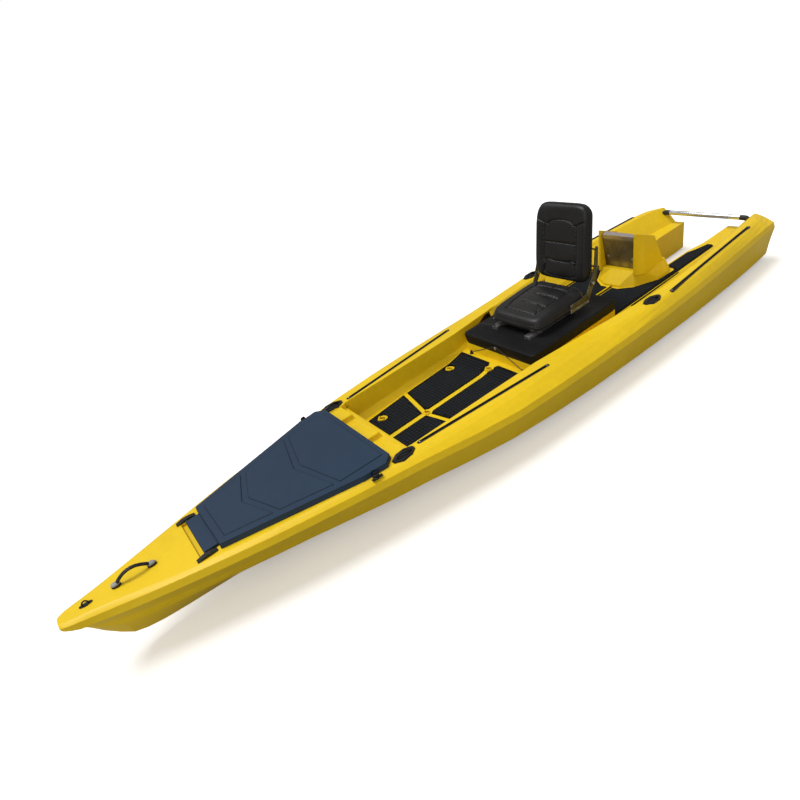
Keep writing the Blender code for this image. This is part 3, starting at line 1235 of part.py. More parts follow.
def main():
    clear_scene()
    yellow = material("hull_yellow", (0.86, 0.56, 0.03), 0.42)
    dark = material("lid_blue_grey", (0.045, 0.066, 0.095), 0.45)
    rubber = material("black_rubber", (0.012, 0.012, 0.013), 0.7)
    black = material("black_nylon", (0.015, 0.016, 0.018), 0.4)
    foam = material("grey_foam", (0.013, 0.016, 0.020), 0.85)
    plastic = material("base_plastic", (0.014, 0.016, 0.019), 0.5)
    vinyl = material("black_vinyl", (0.016, 0.017, 0.020), 0.38)
    steel = material("zinc_steel", (0.45, 0.45, 0.45), 0.4, 1.0)
    olive = material("olive_zinc", (0.16, 0.15, 0.09), 0.42, 0.9)
    plate_steel = material("stained_steel", (0.24, 0.20, 0.13), 0.4, 0.9)
    grey = material("grey_cap", (0.33, 0.34, 0.36), 0.4)
    wood = material("sealed_board", (0.10, 0.07, 0.04), 0.6)
    aluminium = material("anodised_aluminium", (0.70, 0.73, 0.77), 0.25, 1.0)
    cord = material("bungee_black", (0.012, 0.012, 0.012), 0.8)
    make_hull(yellow)
    make_hatch(dark, rubber, black, steel)
    make_latches(black)
    make_bow_fittings(black, grey)
    make_tracks(black)
    make_handles(black)
    make_mats(foam)
    make_seat_base(plastic, steel, black, cord)
    make_slide(steel, black)
    make_seat(vinyl, steel, olive, steel, black)
    make_transom(wood, plate_steel, steel)
    make_stern(aluminium, rubber, black)

    set_origin("hatch_lid", place(0, HINGE_S, HINGE_H))
    seat_point = place(0, (RAIL_S[0] + RAIL_S[1]) / 2, BASE_TOP)
    back_point = place(0, *PIVOT)
    for name in ("seat_pan", "seat_cushion"):
        set_origin(name, seat_point)
    for name in ("back_shell", "back_cushion"):
        set_origin(name, back_point)
    for side, sign in SIDES:
        set_origin(f"latch_knob_{side}", place(sign * LATCH_X, LATCH_S, 0))
        set_origin(f"slide_rail_upper_{side}", seat_point)
        set_origin(f"recliner_lower_{side}", seat_point)
        set_origin(f"pivot_bolt_{side}", seat_point)
        set_origin(f"recliner_upper_{side}", back_point)
    set_origin("slide_lever", place(LEVER_X, LEVER_S, BASE_TOP))


main()
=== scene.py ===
"""Motorized fishing kayak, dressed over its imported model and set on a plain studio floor.

Metres, +Z up. The bow points towards -Y and the port side towards +X. Stations (s) run aft from the bow tip and
heights (h) from the side deck, as in the model's own source.
"""

import json
import math

import bmesh
import bpy
import numpy as np
from bpy.props import FloatProperty, FloatVectorProperty, IntProperty, PointerProperty
from mathutils import Matrix, Vector
from mathutils.bvhtree import BVHTree


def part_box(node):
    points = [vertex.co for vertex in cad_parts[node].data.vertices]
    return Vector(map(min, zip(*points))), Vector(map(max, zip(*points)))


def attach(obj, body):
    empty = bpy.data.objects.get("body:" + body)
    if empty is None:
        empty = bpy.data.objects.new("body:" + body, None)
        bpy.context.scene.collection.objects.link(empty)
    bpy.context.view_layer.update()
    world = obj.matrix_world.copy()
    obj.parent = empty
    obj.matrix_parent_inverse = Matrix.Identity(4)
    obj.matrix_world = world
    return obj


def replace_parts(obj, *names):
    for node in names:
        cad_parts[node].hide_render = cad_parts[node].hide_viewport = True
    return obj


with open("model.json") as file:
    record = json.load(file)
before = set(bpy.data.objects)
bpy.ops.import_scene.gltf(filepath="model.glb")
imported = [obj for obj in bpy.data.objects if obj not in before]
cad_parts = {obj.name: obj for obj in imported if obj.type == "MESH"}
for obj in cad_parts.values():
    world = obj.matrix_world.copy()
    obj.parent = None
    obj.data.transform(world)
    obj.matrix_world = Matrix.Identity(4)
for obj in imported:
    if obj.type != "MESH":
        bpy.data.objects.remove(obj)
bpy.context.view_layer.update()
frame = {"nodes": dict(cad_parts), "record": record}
NODES = frame["nodes"]

bl_info = {
    "name": "Motorized Kayak",
    "version": (1, 0, 0),
    "blender": (4, 5, 0),
    "location": "View3D > Sidebar > Kayak",
    "description": "Dresses the kayak's packed model and sets it on a studio floor",
    "category": "Object",
}

LENGTH = 4.67
DECK_Z = 0.330
SIDES = (("port", 1), ("starboard", -1))

# Camera: its sensor and focal length in millimetres, where it stands, and its right, up and forward directions
CAMERA_SENSOR = 36.0
CAMERA_LENS = 24.435
CAMERA_AT = (2.092, 0.620 - LENGTH / 2, 1.559 + DECK_Z)
CAMERA_RIGHT = (0.5892, 0.7726, -0.2362)
CAMERA_UP = (-0.3230, 0.4932, 0.8076)
CAMERA_FORWARD = (-0.7405, 0.3996, -0.5402)
CAMERA_CLIP = 200.0

# Studio: the floor's half side, each lamp's place, strength and spread in degrees, and the sky's light
FLOOR_REACH = 40.0
LAMPS = (("key", (-0.9, -0.7, 3.0), 2.0, 30.0), ("fill", (2.0, -2.6, 1.6), 0.65, 60.0))
SKY_COLOUR = (1.0, 0.95, 0.88)
SKY_STRENGTH = 0.42

# Seat cushion and back, as the model has them
SEAT_S = (2.602, 3.038)
SEAT_HALF = 0.194
SEAT_LOW = 0.044
SEAT_FRONT_TOP = 0.108
SEAT_REAR_TOP = 0.134
SEAT_CROWN = 0.012
BACK_FOOT = (3.074, 0.138)
BACK_LEAN = math.radians(8.0)
BACK_HEIGHT = 0.444
BACK_HALF = (0.193, 0.184)
BACK_THICKNESS = 0.056

# Sewn pads: where the face starts to fall, how square the corners stay, the rim's share of the crown, and how far
# the sides pull in between the corners
PAD_ROUNDING = 0.17
PAD_CORNER_POWER = 6.0
PAD_RIM_SHARE = 0.42
PAD_WAIST = 0.010
PAD_PULL = 0.003

# Their sides: rings of points, the bulge, and the tuck under the foot, with the share of the side where it starts
SIDE_RINGS = 10
SIDE_BULGE = 0.0045
SIDE_TUCK = 0.009
TUCK_FROM = 0.8

# Their seams: half width of the drawn channel, where it fades at the edge, and the puckers beside it
SEAM_HALF_WIDTH = 0.0042
SEAM_FADE = 0.06
PUCKER_HEIGHT = 0.0007
PUCKER_PITCH = 0.021
PUCKER_AT = 0.007
PUCKER_REACH = 0.006

# Their welts, with how far down the side each lies, and the stitches beside each seam that is long enough
WELTS = (("welt_upper", 0.0), ("welt_lower", 0.86))
WELT_R = 0.0026
WELT_LIFT = 0.0006
WELT_SIDES = 8
STITCH_LENGTH = 0.0042
STITCH_R = 0.0005
STITCH_OFFSET = 0.0052
STITCHED_SEAM = 0.06

# Grid pads of the mats and studs of the base's grip panel; a taper is the top's width as a share of the foot's
MATS = ("floor_mat_front", "floor_mat_rear", "rear_mat")
MAT_PAD_HEIGHT = 0.0024
MAT_PAD_TAPER = 0.88
MAT_PAD_EDGE = 0.0015
STUD_WIDTH = 0.56
STUD_ROOM = 0.42
STUD_HEIGHT = 0.0011
STUD_TAPER = 0.72
GRIP_PANEL_LENGTH = 0.118
PAD_SINK = 0.0001
LEVEL_ENOUGH = 0.9

# Outboard transom: foot of the board, its lean to the bow, the face and heights of the plate's hem, and its rivets
BOARD_FOOT = (3.640, -0.031)
BOARD_LEAN = math.radians(8.0)
BOARD_HEIGHT = 0.235
HEM_FACE = -0.0047
HEM_RISE = (0.160, 0.180)
RIVET_X = 0.088
RIVET_DROP = 0.013

# Gear tracks: fore and aft ends, and their screws
TRACK_ENDS = (((0.321, 1.610), (0.396, 2.430)), ((0.484, 3.405), (0.421, 4.400)))
TRACK_TOP = 0.0015
SCREW_INSET = 0.004
SCREW_R = 0.0036
SCREW_HEIGHT = 0.0018
SCREW_SKIRT = 0.0004
SCREW_SIDES = 24
SCREW_RINGS = 7

# Moulded ledge between the lid and the cockpit: fore and aft stations, half width, heights of its floor and rim,
# thickness, how far its walls bend, points across and along, and its three blocks with their bends
LEDGE_S = (1.4645, 1.5698)
LEDGE_HALF = 0.2995
LEDGE_FLOOR = -0.0332
LEDGE_RIM = -0.0006
LEDGE_SHELL = 0.005
LEDGE_BEND = 0.012
LEDGE_GRID = (241, 49)
LEDGE_BLOCKS = ((-0.236, 0.056), (0.0, 0.078), (0.236, 0.056))
LEDGE_BLOCK_TOP = -0.0052
LEDGE_BLOCK_LENGTH = 0.076
LEDGE_BLOCK_BENDS = (0.008, 0.010)

# Stern bar: radius, station and height, how far it enters an elbow, and its end's profile, along and outward
BAR_TUBE_R = 0.0165
BAR_S = 4.632
BAR_H = -0.034
BAR_ENTRY = 0.002
BAR_END = ((0.0, -0.0015), (0.0, -0.0004), (0.0012, 0.0))
BAR_SIDES = 40

# Finishes: how far the painted dark shade reaches from a moulded edge, the softened edges, and the spread of the
# mottling
PAINTED_EDGE_SHADE_REACH = 0.006
MOULDED_EDGE = 0.0012
MOULDED_SPREAD = 0.14
METAL_EDGE = 0.0006

# Colours that aren't the user's to change, in linear light
RUBBER = (0.012, 0.012, 0.013)
BASE_PLASTIC = (0.0085, 0.0090, 0.0100)
ZINC = (0.46, 0.46, 0.47)
OLIVE_ZINC = (0.135, 0.128, 0.085)
GREY_CAP = (0.30, 0.31, 0.33)
ALUMINIUM = (0.72, 0.76, 0.82)
CORD = (0.014, 0.014, 0.014)


def place(x, s, h):
    """World point of a lateral place, a station and a height from the deck; takes arrays too."""
    return np.stack(np.broadcast_arrays(x, np.asarray(s) - LENGTH / 2, np.asarray(h) + DECK_Z), axis=-1)


def colour_property(name, description, default):
    return FloatVectorProperty(name=name, description=description, subtype="COLOR", min=0, max=1, default=default)


def length_property(name, description, low, high, default):
    return FloatProperty(
        name=name, description=description, subtype="DISTANCE", unit="LENGTH", min=low, max=high, default=default)


class KayakColours(bpy.types.PropertyGroup):
    """Colours of the kayak, in linear light."""

    hull: colour_property("Hull", "Hull plastic", (0.83, 0.570, 0.010))
    lid: colour_property("Hatch lid", "Hatch lid plastic", (0.016, 0.038, 0.076))
    foam: colour_property("Mats", "Foam floor mats", (0.015, 0.018, 0.022))
    vinyl: colour_property("Seat", "Seat vinyl", (0.010, 0.010, 0.011))
    fittings: colour_property("Fittings", "Moulded nylon fittings", (0.010, 0.011, 0.013))


class KayakSizes(bpy.types.PropertyGroup):
    """Sizes of the details that a user would change."""

    mat_pitch: length_property("Mat grid pitch", "Distance between the grid pads of the mats", 0.008, 0.05, 0.020)
    mat_groove: length_property("Mat groove", "Width of the grooves between the pads", 0.001, 0.01, 0.0042)
    stud_pitch: length_property(
        "Stud pitch", "Distance between the studs of the seat base's grip panel", 0.006, 0.05, 0.010)
    stitch_pitch: length_property("Stitch pitch", "Distance between the stitches on the seat", 0.003, 0.02, 0.0062)
    seam_depth: length_property("Seam depth", "How deep the sewn channels are drawn into the pads", 0.0, 0.02, 0.0075)
    pad_rows: IntProperty(
        name="Pad rows", description="Rows of points across each seat pad", min=60, max=260, default=180)
    hull_edge: length_property("Hull edge", "Radius of the hull's moulded edges", 0.0, 0.02, 0.0045)


def feed(tree, entry, value):
    """Links a socket or a wire to a node's input, or sets the input to a plain value."""
    value = value.socket if isinstance(value, Wire) else value
    if isinstance(value, bpy.types.NodeSocket):
        tree.links.new(value, entry)
    elif isinstance(value, tuple) and len(value) == 3 and entry.type == "RGBA":
        entry.default_value = (*value, 1.0)
    else:
        entry.default_value = value


def add_node(tree, kind, inputs=None, **settings):
    """A node with its settings, and its inputs by name or number."""
    made = tree.nodes.new(kind)
    for key, value in settings.items():
        setattr(made, key, value)
    for key, value in (inputs or {}).items():
        feed(tree, made.inputs[key], value)
    return made


class Wire:
    """A number in a node tree that takes part in plain arithmetic."""

    def __init__(self, tree, socket):
        self.tree = tree
        self.socket = socket

    def math(self, operation, *others):
        made = add_node(self.tree, "ShaderNodeMath", dict(enumerate((self, *others))), operation=operation)
        return Wire(self.tree, made.outputs[0])

    def __add__(self, other):
        return self.math("ADD", other)

    def __sub__(self, other):
        return self.math("SUBTRACT", other)

    def __rsub__(self, other):
        return self.math("MULTIPLY_ADD", -1.0, other)

    def __mul__(self, other):
        return self.math("MULTIPLY", other)

    __radd__ = __add__

    def sine(self):
        return self.math("SINE")

    def size(self):
        return self.math("ABSOLUTE")

    def rise(self, low, high):
        """0 below low, 1 above high, and smooth between."""
        inputs = {"Value": self, "From Min": low, "From Max": high}
        made = add_node(self.tree, "ShaderNodeMapRange", inputs, interpolation_type="SMOOTHSTEP")
        return Wire(self.tree, made.outputs[0])


class Finish:
    """A procedural material under construction, read in the object's own coordinates."""

    def __init__(self, name):
        self.material = bpy.data.materials.new(name)
        self.material.use_nodes = True
        self.tree = self.material.node_tree
        self.shader = self.tree.nodes["Principled BSDF"]
        self.place = self.node("ShaderNodeTexCoord").outputs["Object"]

    def node(self, kind, inputs=None, **settings):
        return add_node(self.tree, kind, inputs, **settings)

    def noise(self, scale, detail, stretch=None):
        vector = self.place
        if stretch:
            vector = self.node("ShaderNodeVectorMath", {0: vector, 1: stretch}, operation="MULTIPLY").outputs[0]
        inputs = {"Vector": vector, "Scale": scale, "Detail": detail}
        return Wire(self.tree, self.node("ShaderNodeTexNoise", inputs).outputs[0])

    def cells(self, scale):
        inputs = {"Vector": self.place, "Scale": scale}
        return Wire(self.tree, self.node("ShaderNodeTexVoronoi", inputs).outputs["Distance"])

    def axis(self, letter):
        return Wire(self.tree, self.node("ShaderNodeSeparateXYZ", {0: self.place}).outputs[letter])

    def blend(self, share, first, second):
        return self.node("ShaderNodeMix", {0: share, 6: first, 7: second}, data_type="RGBA").outputs[2]

    def soft_edge(self, radius):
        return self.node("ShaderNodeBevel", {"Radius": radius}, samples=6).outputs[0]

    def bump(self, height, depth, normal=None, strength=1.0):
        inputs = {"Height": height, "Distance": depth, "Strength": strength}
        if normal is not None:
            inputs["Normal"] = normal
        return self.node("ShaderNodeBump", inputs).outputs["Normal"]

    def close(self, colour, roughness, normal, metallic=0.0, specular=0.5):
        """Feeds the shader and returns the material."""
        values = {
            "Base Color": colour, "Roughness": roughness, "Metallic": metallic, "Normal": normal,
            "Specular IOR Level": specular}
        for label, value in values.items():
            feed(self.tree, self.shader.inputs[label], value)
        return self.material


def tone(colour, factor):
    return tuple(min(1.0, c * factor) for c in colour)


def moulded(name, colour, roughness, grain=900.0, depth=0.00008, specular=0.5):
    """Moulded plastic or rubber: slight mottling, rubbed patches, a fine grain and soft edges."""
    finish = Finish(name)
    broad = finish.noise(3.1, 4.0)
    fine = finish.noise(60.0, 3.0)
    rubbed = finish.noise(17.0, 6.0, stretch=(1.0, 0.3, 1.0)).rise(0.56, 0.70)
    shade = (broad * 0.65 + fine * 0.35).rise(0.32, 0.68)
    colour_now = finish.blend(shade, tone(colour, 1 - MOULDED_SPREAD), tone(colour, 1 + MOULDED_SPREAD))
    colour_now = finish.blend(rubbed * 0.22, colour_now, tone(colour, 1.7))
    rough_now = roughness + rubbed * 0.10 + (fine - 0.5) * 0.08
    normal = finish.bump(finish.noise(grain, 2.0), depth, finish.soft_edge(MOULDED_EDGE))
    return finish.close(colour_now, rough_now, normal, specular=specular)


def rotomoulded(name, colour, roughness, edge, scuff, specular=0.28, painted_edge_shade=0.0):
    """Rotomoulded polyethylene: satin, faintly mottled, with an orange-peel skin, moulded radii and light scuffs."""
    finish = Finish(name)
    broad = finish.noise(1.6, 3.0)
    fine = finish.noise(26.0, 5.0)
    shade = (broad * 0.7 + fine * 0.3).rise(0.34, 0.66)
    # Painted shade: the colour is drawn darker towards the bottom, below a tenth of a metre
    low = finish.axis("Z").rise(0.10, 0.0)
    lines = finish.noise(90.0, 2.0, stretch=(1.0, 0.05, 1.0)).rise(0.62, 0.74)
    spots = finish.noise(9.0, 2.0).rise(0.50, 0.66)
    scuffs = lines * spots
    colour_now = finish.blend(shade, tone(colour, 0.93), tone(colour, 1.05))
    colour_now = finish.blend(scuffs * scuff, colour_now, tone(colour, 1.35))
    # Painted shade towards the bottom
    colour_now = finish.blend(low * 0.12, colour_now, tone(colour, 0.75))
    # Painted shade: a dark line drawn along moulded edges and grooves, where the softened normal turns from the face
    turned = {0: finish.soft_edge(PAINTED_EDGE_SHADE_REACH), 1: finish.node("ShaderNodeNewGeometry").outputs["Normal"]}
    matched = finish.node("ShaderNodeVectorMath", turned, operation="DOT_PRODUCT").outputs["Value"]
    edge_shade_mask = (1.0 - Wire(finish.tree, matched)).rise(0.004, 0.07)
    colour_now = finish.blend(edge_shade_mask * painted_edge_shade, colour_now, tone(colour, 0.25))
    rough_now = roughness + (fine - 0.5) * 0.10 + scuffs * 0.15
    peel = finish.noise(240.0, 3.0) * 0.7 + finish.noise(34.0, 2.0) * 0.3
    normal = finish.bump(peel, 0.00045, finish.soft_edge(edge), 0.7)
    return finish.close(colour_now, rough_now, normal, specular=specular)


def gripped(name, colour, pitch):
    """Moulded plastic with a square anti-slip grid pressed into its upward faces."""
    finish = Finish(name)
    normals = finish.node("ShaderNodeSeparateXYZ", {0: finish.node("ShaderNodeTexCoord").outputs["Normal"]})
    top = Wire(finish.tree, normals.outputs["Z"]).rise(0.80, 0.95)
    turns = math.pi / pitch
    across = (finish.axis("X") * turns).sine().size().rise(0.10, 0.42)
    along = (finish.axis("Y") * turns).sine().size().rise(0.10, 0.42)
    raised_and_groove_shade = (1.0 - top) + top * across * along
    broad = finish.noise(9.0, 5.0).rise(0.35, 0.70)
    # Painted shade: the grid's grooves are drawn much darker than its raised squares
    colour_now = finish.blend(raised_and_groove_shade * 0.85, tone(colour, 0.35), tone(colour, 1.15))
    colour_now = finish.blend(broad * 0.25, colour_now, tone(colour, 1.9))
    height = raised_and_groove_shade + finish.noise(500.0, 2.0) * 0.15
    normal = finish.bump(height, 0.0016, finish.soft_edge(0.003))
    return finish.close(colour_now, 0.50 + broad * 0.10, normal, specular=0.15)


def foam(name, colour):
    """Closed cell foam: matt, with a fine brushed nap and dusty patches."""
    finish = Finish(name)
    nap = finish.noise(1500.0, 2.0)
    patches = finish.noise(11.0, 5.0).rise(0.42, 0.68)
    colour_now = finish.blend(nap, tone(colour, 0.8), tone(colour, 1.3))
    colour_now = finish.blend(patches * 0.22, colour_now, tone(colour, 2.0))
    normal = finish.bump(nap, 0.00022)
    return finish.close(colour_now, 0.86 + patches * 0.06, normal, specular=0.12)


def vinyl(name, colour):
    """Sewn marine vinyl: pebbled grain, broad soft creases and a slight gloss."""
    finish = Finish(name)
    pebble = finish.cells(560.0) * 0.7 + finish.noise(900.0, 2.0) * 0.3
    creases = finish.noise(22.0, 4.0, stretch=(1.0, 1.7, 1.0))
    wear_and_sheen = finish.noise(7.0, 5.0).rise(0.48, 0.68)
    # Painted shade: the colour darkens in the crease hollows and lightens on their crowns
    colour_now = finish.blend(creases, tone(colour, 0.8), tone(colour, 1.25))
    # Worn patches, lightened to a bluish grey that also stands for a painted bluish highlight
    colour_now = finish.blend(wear_and_sheen * 0.18, colour_now, (0.030, 0.033, 0.040))
    normal = finish.bump(pebble, 0.00016)
    normal = finish.bump(creases, 0.0016, normal, 0.55)
    return finish.close(colour_now, 0.40 + wear_and_sheen * 0.12 + (creases - 0.5) * 0.10, normal, specular=0.32)


def metal(name, colour, roughness, brushed, depth, spread=0.18):
    """Plated or brushed metal; brushed stretches the brush marks along an axis."""
    finish = Finish(name)
    brush = finish.noise(700.0, 3.0, stretch=brushed)
    blotch = finish.noise(19.0, 5.0).rise(0.36, 0.68)
    colour_now = finish.blend(blotch, tone(colour, 1 - spread), tone(colour, 1 + spread))
    rough_now = roughness + (brush - 0.5) * 0.16 + blotch * 0.08
    normal = finish.bump(brush, depth, finish.soft_edge(METAL_EDGE))
    return finish.close(colour_now, rough_now, normal, metallic=0.95)


def stained_plate(name):
    """Weathered stainless sheet: brown stain over its face, and a brighter, smoother hem along its top."""
    finish = Finish(name)
    brush = finish.noise(500.0, 3.0, stretch=(0.06, 1.0, 1.0))
    stain = finish.noise(13.0, 6.0, stretch=(1.0, 1.0, 0.45)).rise(0.30, 0.72)
    spots = finish.noise(85.0, 3.0).rise(0.60, 0.70)
    hem = finish.axis("Z").rise(DECK_Z + HEM_RISE[0], DECK_Z + HEM_RISE[1])
    face = finish.blend(stain, (0.33, 0.30, 0.22), (0.15, 0.115, 0.048))
    face = finish.blend(spots * 0.5, face, (0.10, 0.06, 0.025))
    colour_now = finish.blend(hem, face, (0.55, 0.50, 0.50))
    normal = finish.bump(brush * 0.6 + stain * 0.4, 0.0002, finish.soft_edge(MOULDED_EDGE))
    return finish.close(colour_now, 0.36 + stain * 0.16 - hem * 0.08, normal, metallic=0.85)


def board(name):
    """Sealed plywood: plies along the edge and a grain that runs crosswise."""
    finish = Finish(name)
    grain = finish.noise(90.0, 4.0, stretch=(0.08, 1.0, 1.0))
    plies = (finish.axis("Y") * 1500.0).sine() * 0.5 + 0.5
    shade = grain * 0.7 + plies * 0.3
    colour_now = finish.blend(shade, (0.060, 0.040, 0.022), (0.16, 0.115, 0.066))
    return finish.close(colour_now, 0.50 + grain * 0.15, finish.bump(grain, 0.0003))


def braid(name, colour):
    """Braided cord: two sets of strands that cross along the cord."""
    finish = Finish(name)
    turn = finish.axis("X") * 1400.0
    lift = finish.axis("Z") * 1500.0
    weave = (turn + lift).sine() * (turn - lift).sine()
    colour_now = finish.blend(weave * 0.5 + 0.5, tone(colour, 0.7), tone(colour, 1.9))
    return finish.close(colour_now, 0.75 + weave * 0.05, finish.bump(weave, 0.0004))


def floor_finish(name):
    """Pale floor: white where the camera sees it, greyer in what it throws back at the hull; it keeps the shadow."""
    finish = Finish(name)
    grain = finish.noise(3.0, 2.0)
    seen = Wire(finish.tree, finish.node("ShaderNodeLightPath").outputs["Is Camera Ray"])
    pale = finish.blend(grain, (0.93, 0.93, 0.93), (0.95, 0.95, 0.95))
    colour_now = finish.blend(seen, (0.34, 0.34, 0.33), pale)
    glow = finish.blend(seen, (0.0, 0.0, 0.0), (0.30, 0.30, 0.30))
    feed(finish.tree, finish.shader.inputs["Emission Color"], glow)
    finish.shader.inputs["Emission Strength"].default_value = 1.0
    return finish.close(colour_now, 0.85 + grain * 0.05, finish.bump(grain, 0.0001), specular=0.0)


def finishes():
    """Every finish by the record's material slot; made once."""
    colours = bpy.context.scene.kayak_colours
    sizes = bpy.context.scene.kayak_sizes
    if "dressed_hull_yellow" not in bpy.data.materials:
        rotomoulded("dressed_hull_yellow", tuple(colours.hull), 0.40, sizes.hull_edge, 0.35)
        # The lid gets painted shade along its panel edges and grooves
        rotomoulded("dressed_lid_blue_grey", tuple(colours.lid), 0.46, 0.0022, 0.5, specular=0.24, painted_edge_shade=0.75)
        moulded("dressed_black_rubber", RUBBER, 0.62, grain=700.0, depth=0.0001)
        moulded("dressed_black_nylon", tuple(colours.fittings), 0.42, specular=0.35)
        # Painted shade: the mats get a darker copy of the foam, so the grooves between their grid pads read as shaded
        foam("dressed_grey_foam", tone(tuple(colours.foam), 0.32))
        foam("dressed_foam_pads", tuple(colours.foam))
        gripped("dressed_base_plastic", BASE_PLASTIC, 0.018)
        vinyl("dressed_black_vinyl", tuple(colours.vinyl))
        metal("dressed_zinc_steel", ZINC, 0.36, (1.0, 0.08, 1.0), 0.00006)
        metal("dressed_olive_zinc", OLIVE_ZINC, 0.42, (1.0, 1.0, 0.15), 0.00006, spread=0.28)
        stained_plate("dressed_stained_steel")
        moulded("dressed_grey_cap", GREY_CAP, 0.42)
        board("dressed_sealed_board")
        metal("dressed_anodised_aluminium", ALUMINIUM, 0.24, (0.05, 1.0, 1.0), 0.00004, spread=0.06)
        braid("dressed_bungee_black", CORD)
    return {m.name[len("dressed_"):]: m for m in bpy.data.materials if m.name.startswith("dressed_")}


def new_object(name, points, faces, finish, smooth=True):
    """A closed mesh object at the origin, its normals facing out."""
    mesh = bpy.data.meshes.new(name)
    mesh.from_pydata([tuple(map(float, p)) for p in points], [], faces)
    shell = bmesh.new()
    shell.from_mesh(mesh)
    bmesh.ops.recalc_face_normals(shell, faces=shell.faces)
    for face in shell.faces:
        face.smooth = smooth
    shell.to_mesh(mesh)
    shell.free()
    mesh.materials.append(finish)
    made = bpy.data.objects.new(name, mesh)
    bpy.context.scene.collection.objects.link(made)
    return made


def register_piece(piece, body):
    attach(piece, body)
    return piece


def ring_of(index, sides):
    """Point numbers of one ring, where rings of that many points follow each other."""
    return range(index * sides, (index + 1) * sides)


def strip(first, second):
    """Quads between two closed loops of point numbers."""
    return list(zip(first, (*first[1:], first[0]), (*second[1:], second[0]), second))


def grid_faces(columns, rows):
    """Quads of a grid of points, row by row."""
    corners = [j * columns + i for j in range(rows - 1) for i in range(columns - 1)]
    return [(k, k + 1, k + columns + 1, k + columns) for k in corners]


def grid_rim(columns, rows):
    """Point numbers round the edge of a grid of points."""
    rim = list(range(columns)) + [j * columns + columns - 1 for j in range(1, rows)]
    rim += [(rows - 1) * columns + i for i in range(columns - 2, -1, -1)]
    return rim + [j * columns for j in range(rows - 2, 0, -1)]


def closed_tube(name, loop, radius, finish):
    """A tube of one radius round a closed loop of world points."""
    points = np.asarray(loop, float)
    ahead = np.roll(points, -1, axis=0) - np.roll(points, 1, axis=0)
    ahead /= np.linalg.norm(ahead, axis=1)[:, None]
    out = points - points.mean(axis=0)
    out -= (out * ahead).sum(axis=1)[:, None] * ahead
    out /= np.linalg.norm(out, axis=1)[:, None]
    up = np.cross(ahead, out)
    angles = np.arange(WELT_SIDES) * 2 * math.pi / WELT_SIDES
    rings = points[:, None] + radius * (
        np.cos(angles)[None, :, None] * out[:, None] + np.sin(angles)[None, :, None] * up[:, None])
    faces = []
    for i in range(len(points)):
        faces += strip(ring_of(i, WELT_SIDES), ring_of((i + 1) % len(points), WELT_SIDES))
    return new_object(name, rings.reshape(-1, 3), faces, finish)


def node_group(name, values):
    """A geometry tree with its input sockets; a value of None stands for an object."""
    tree = bpy.data.node_groups.new(name, "GeometryNodeTree")
    face = tree.interface
    face.new_socket("Geometry", in_out="INPUT", socket_type="NodeSocketGeometry")
    for label, value in values.items():
        kind = "NodeSocketObject" if value is None else "NodeSocketFloat"
        face.new_socket(label, in_out="INPUT", socket_type=kind).default_value = value
    face.new_socket("Material", in_out="INPUT", socket_type="NodeSocketMaterial")
    face.new_socket("Geometry", in_out="OUTPUT", socket_type="NodeSocketGeometry")
    return tree, tree.nodes.new("NodeGroupInput").outputs


def end_group(tree, given, instances):
    """Puts the instances on the points, realises them, and sets the material of the tree's output."""
    spread = add_node(tree, "GeometryNodeInstanceOnPoints", instances)
    realise = add_node(tree, "GeometryNodeRealizeInstances", {0: spread.outputs[0]})
    paint = add_node(tree, "GeometryNodeSetMaterial", {"Geometry": realise.outputs[0], "Material": given["Material"]})
    add_node(tree, "NodeGroupOutput", {0: paint.outputs[0]})
    return tree


def apply_group(carrier, tree, values):
    """Runs a geometry tree on a carrier, and leaves its result as a plain mesh."""
    step = carrier.modifiers.new("pattern", "NODES")
    step.node_group = tree
    for item in tree.interface.items_tree:
        if item.item_type == "SOCKET" and item.in_out == "INPUT" and item.name in values:
            step[item.identifier] = values[item.name]
    bpy.context.view_layer.update()
    graph = bpy.context.evaluated_depsgraph_get()
    mesh = bpy.data.meshes.new_from_object(carrier.evaluated_get(graph))
    carrier.modifiers.clear()
    if not mesh.polygons:
        raise RuntimeError(f"{carrier.name}: the pattern came out empty")
    old = carrier.data
    carrier.data = mesh
    mesh.name = carrier.name
    bpy.data.meshes.remove(old)
    return carrier


def pads_tree():
    """Square pads with sloping sides, one on each point."""
    tree, given = node_group("Grid pads", {"Width": 0.009, "Height": 0.001, "Taper": 0.9})
    half = add_node(tree, "ShaderNodeMath", {0: given["Width"], 1: math.sqrt(0.5)}, operation="MULTIPLY")
    top = add_node(tree, "ShaderNodeMath", {0: half.outputs[0], 1: given["Taper"]}, operation="MULTIPLY")
    sizes = {"Radius Bottom": half.outputs[0], "Radius Top": top.outputs[0], "Depth": given["Height"]}
    pad = add_node(tree, "GeometryNodeMeshCone", {"Vertices": 4, **sizes})
    turned = (0.0, 0.0, math.pi / 4)
    return end_group(
        tree, given, {"Points": given["Geometry"], "Rotation": turned, "Instance": pad.outputs["Mesh"]})


def stitches_tree():
    """Short thread lengths along the lines of the carrier."""
    tree, given = node_group("Stitches", {"Pitch": 0.006, "Length": STITCH_LENGTH, "Radius": STITCH_R})
    line = add_node(tree, "GeometryNodeMeshToCurve", {0: given["Geometry"]})
    spacing = {"Curve": line.outputs[0], "Length": given["Pitch"]}
    even = add_node(tree, "GeometryNodeResampleCurve", spacing, mode="LENGTH")
    marks = add_node(tree, "GeometryNodeCurveToPoints", {"Curve": even.outputs[0]}, mode="EVALUATED").outputs
    sizes = {"Radius": given["Radius"], "Depth": given["Length"]}
    thread = add_node(tree, "GeometryNodeMeshCylinder", {"Vertices": 6, **sizes})
    return end_group(
        tree, given, {"Points": marks["Points"], "Rotation": marks["Rotation"], "Instance": thread.outputs["Mesh"]})


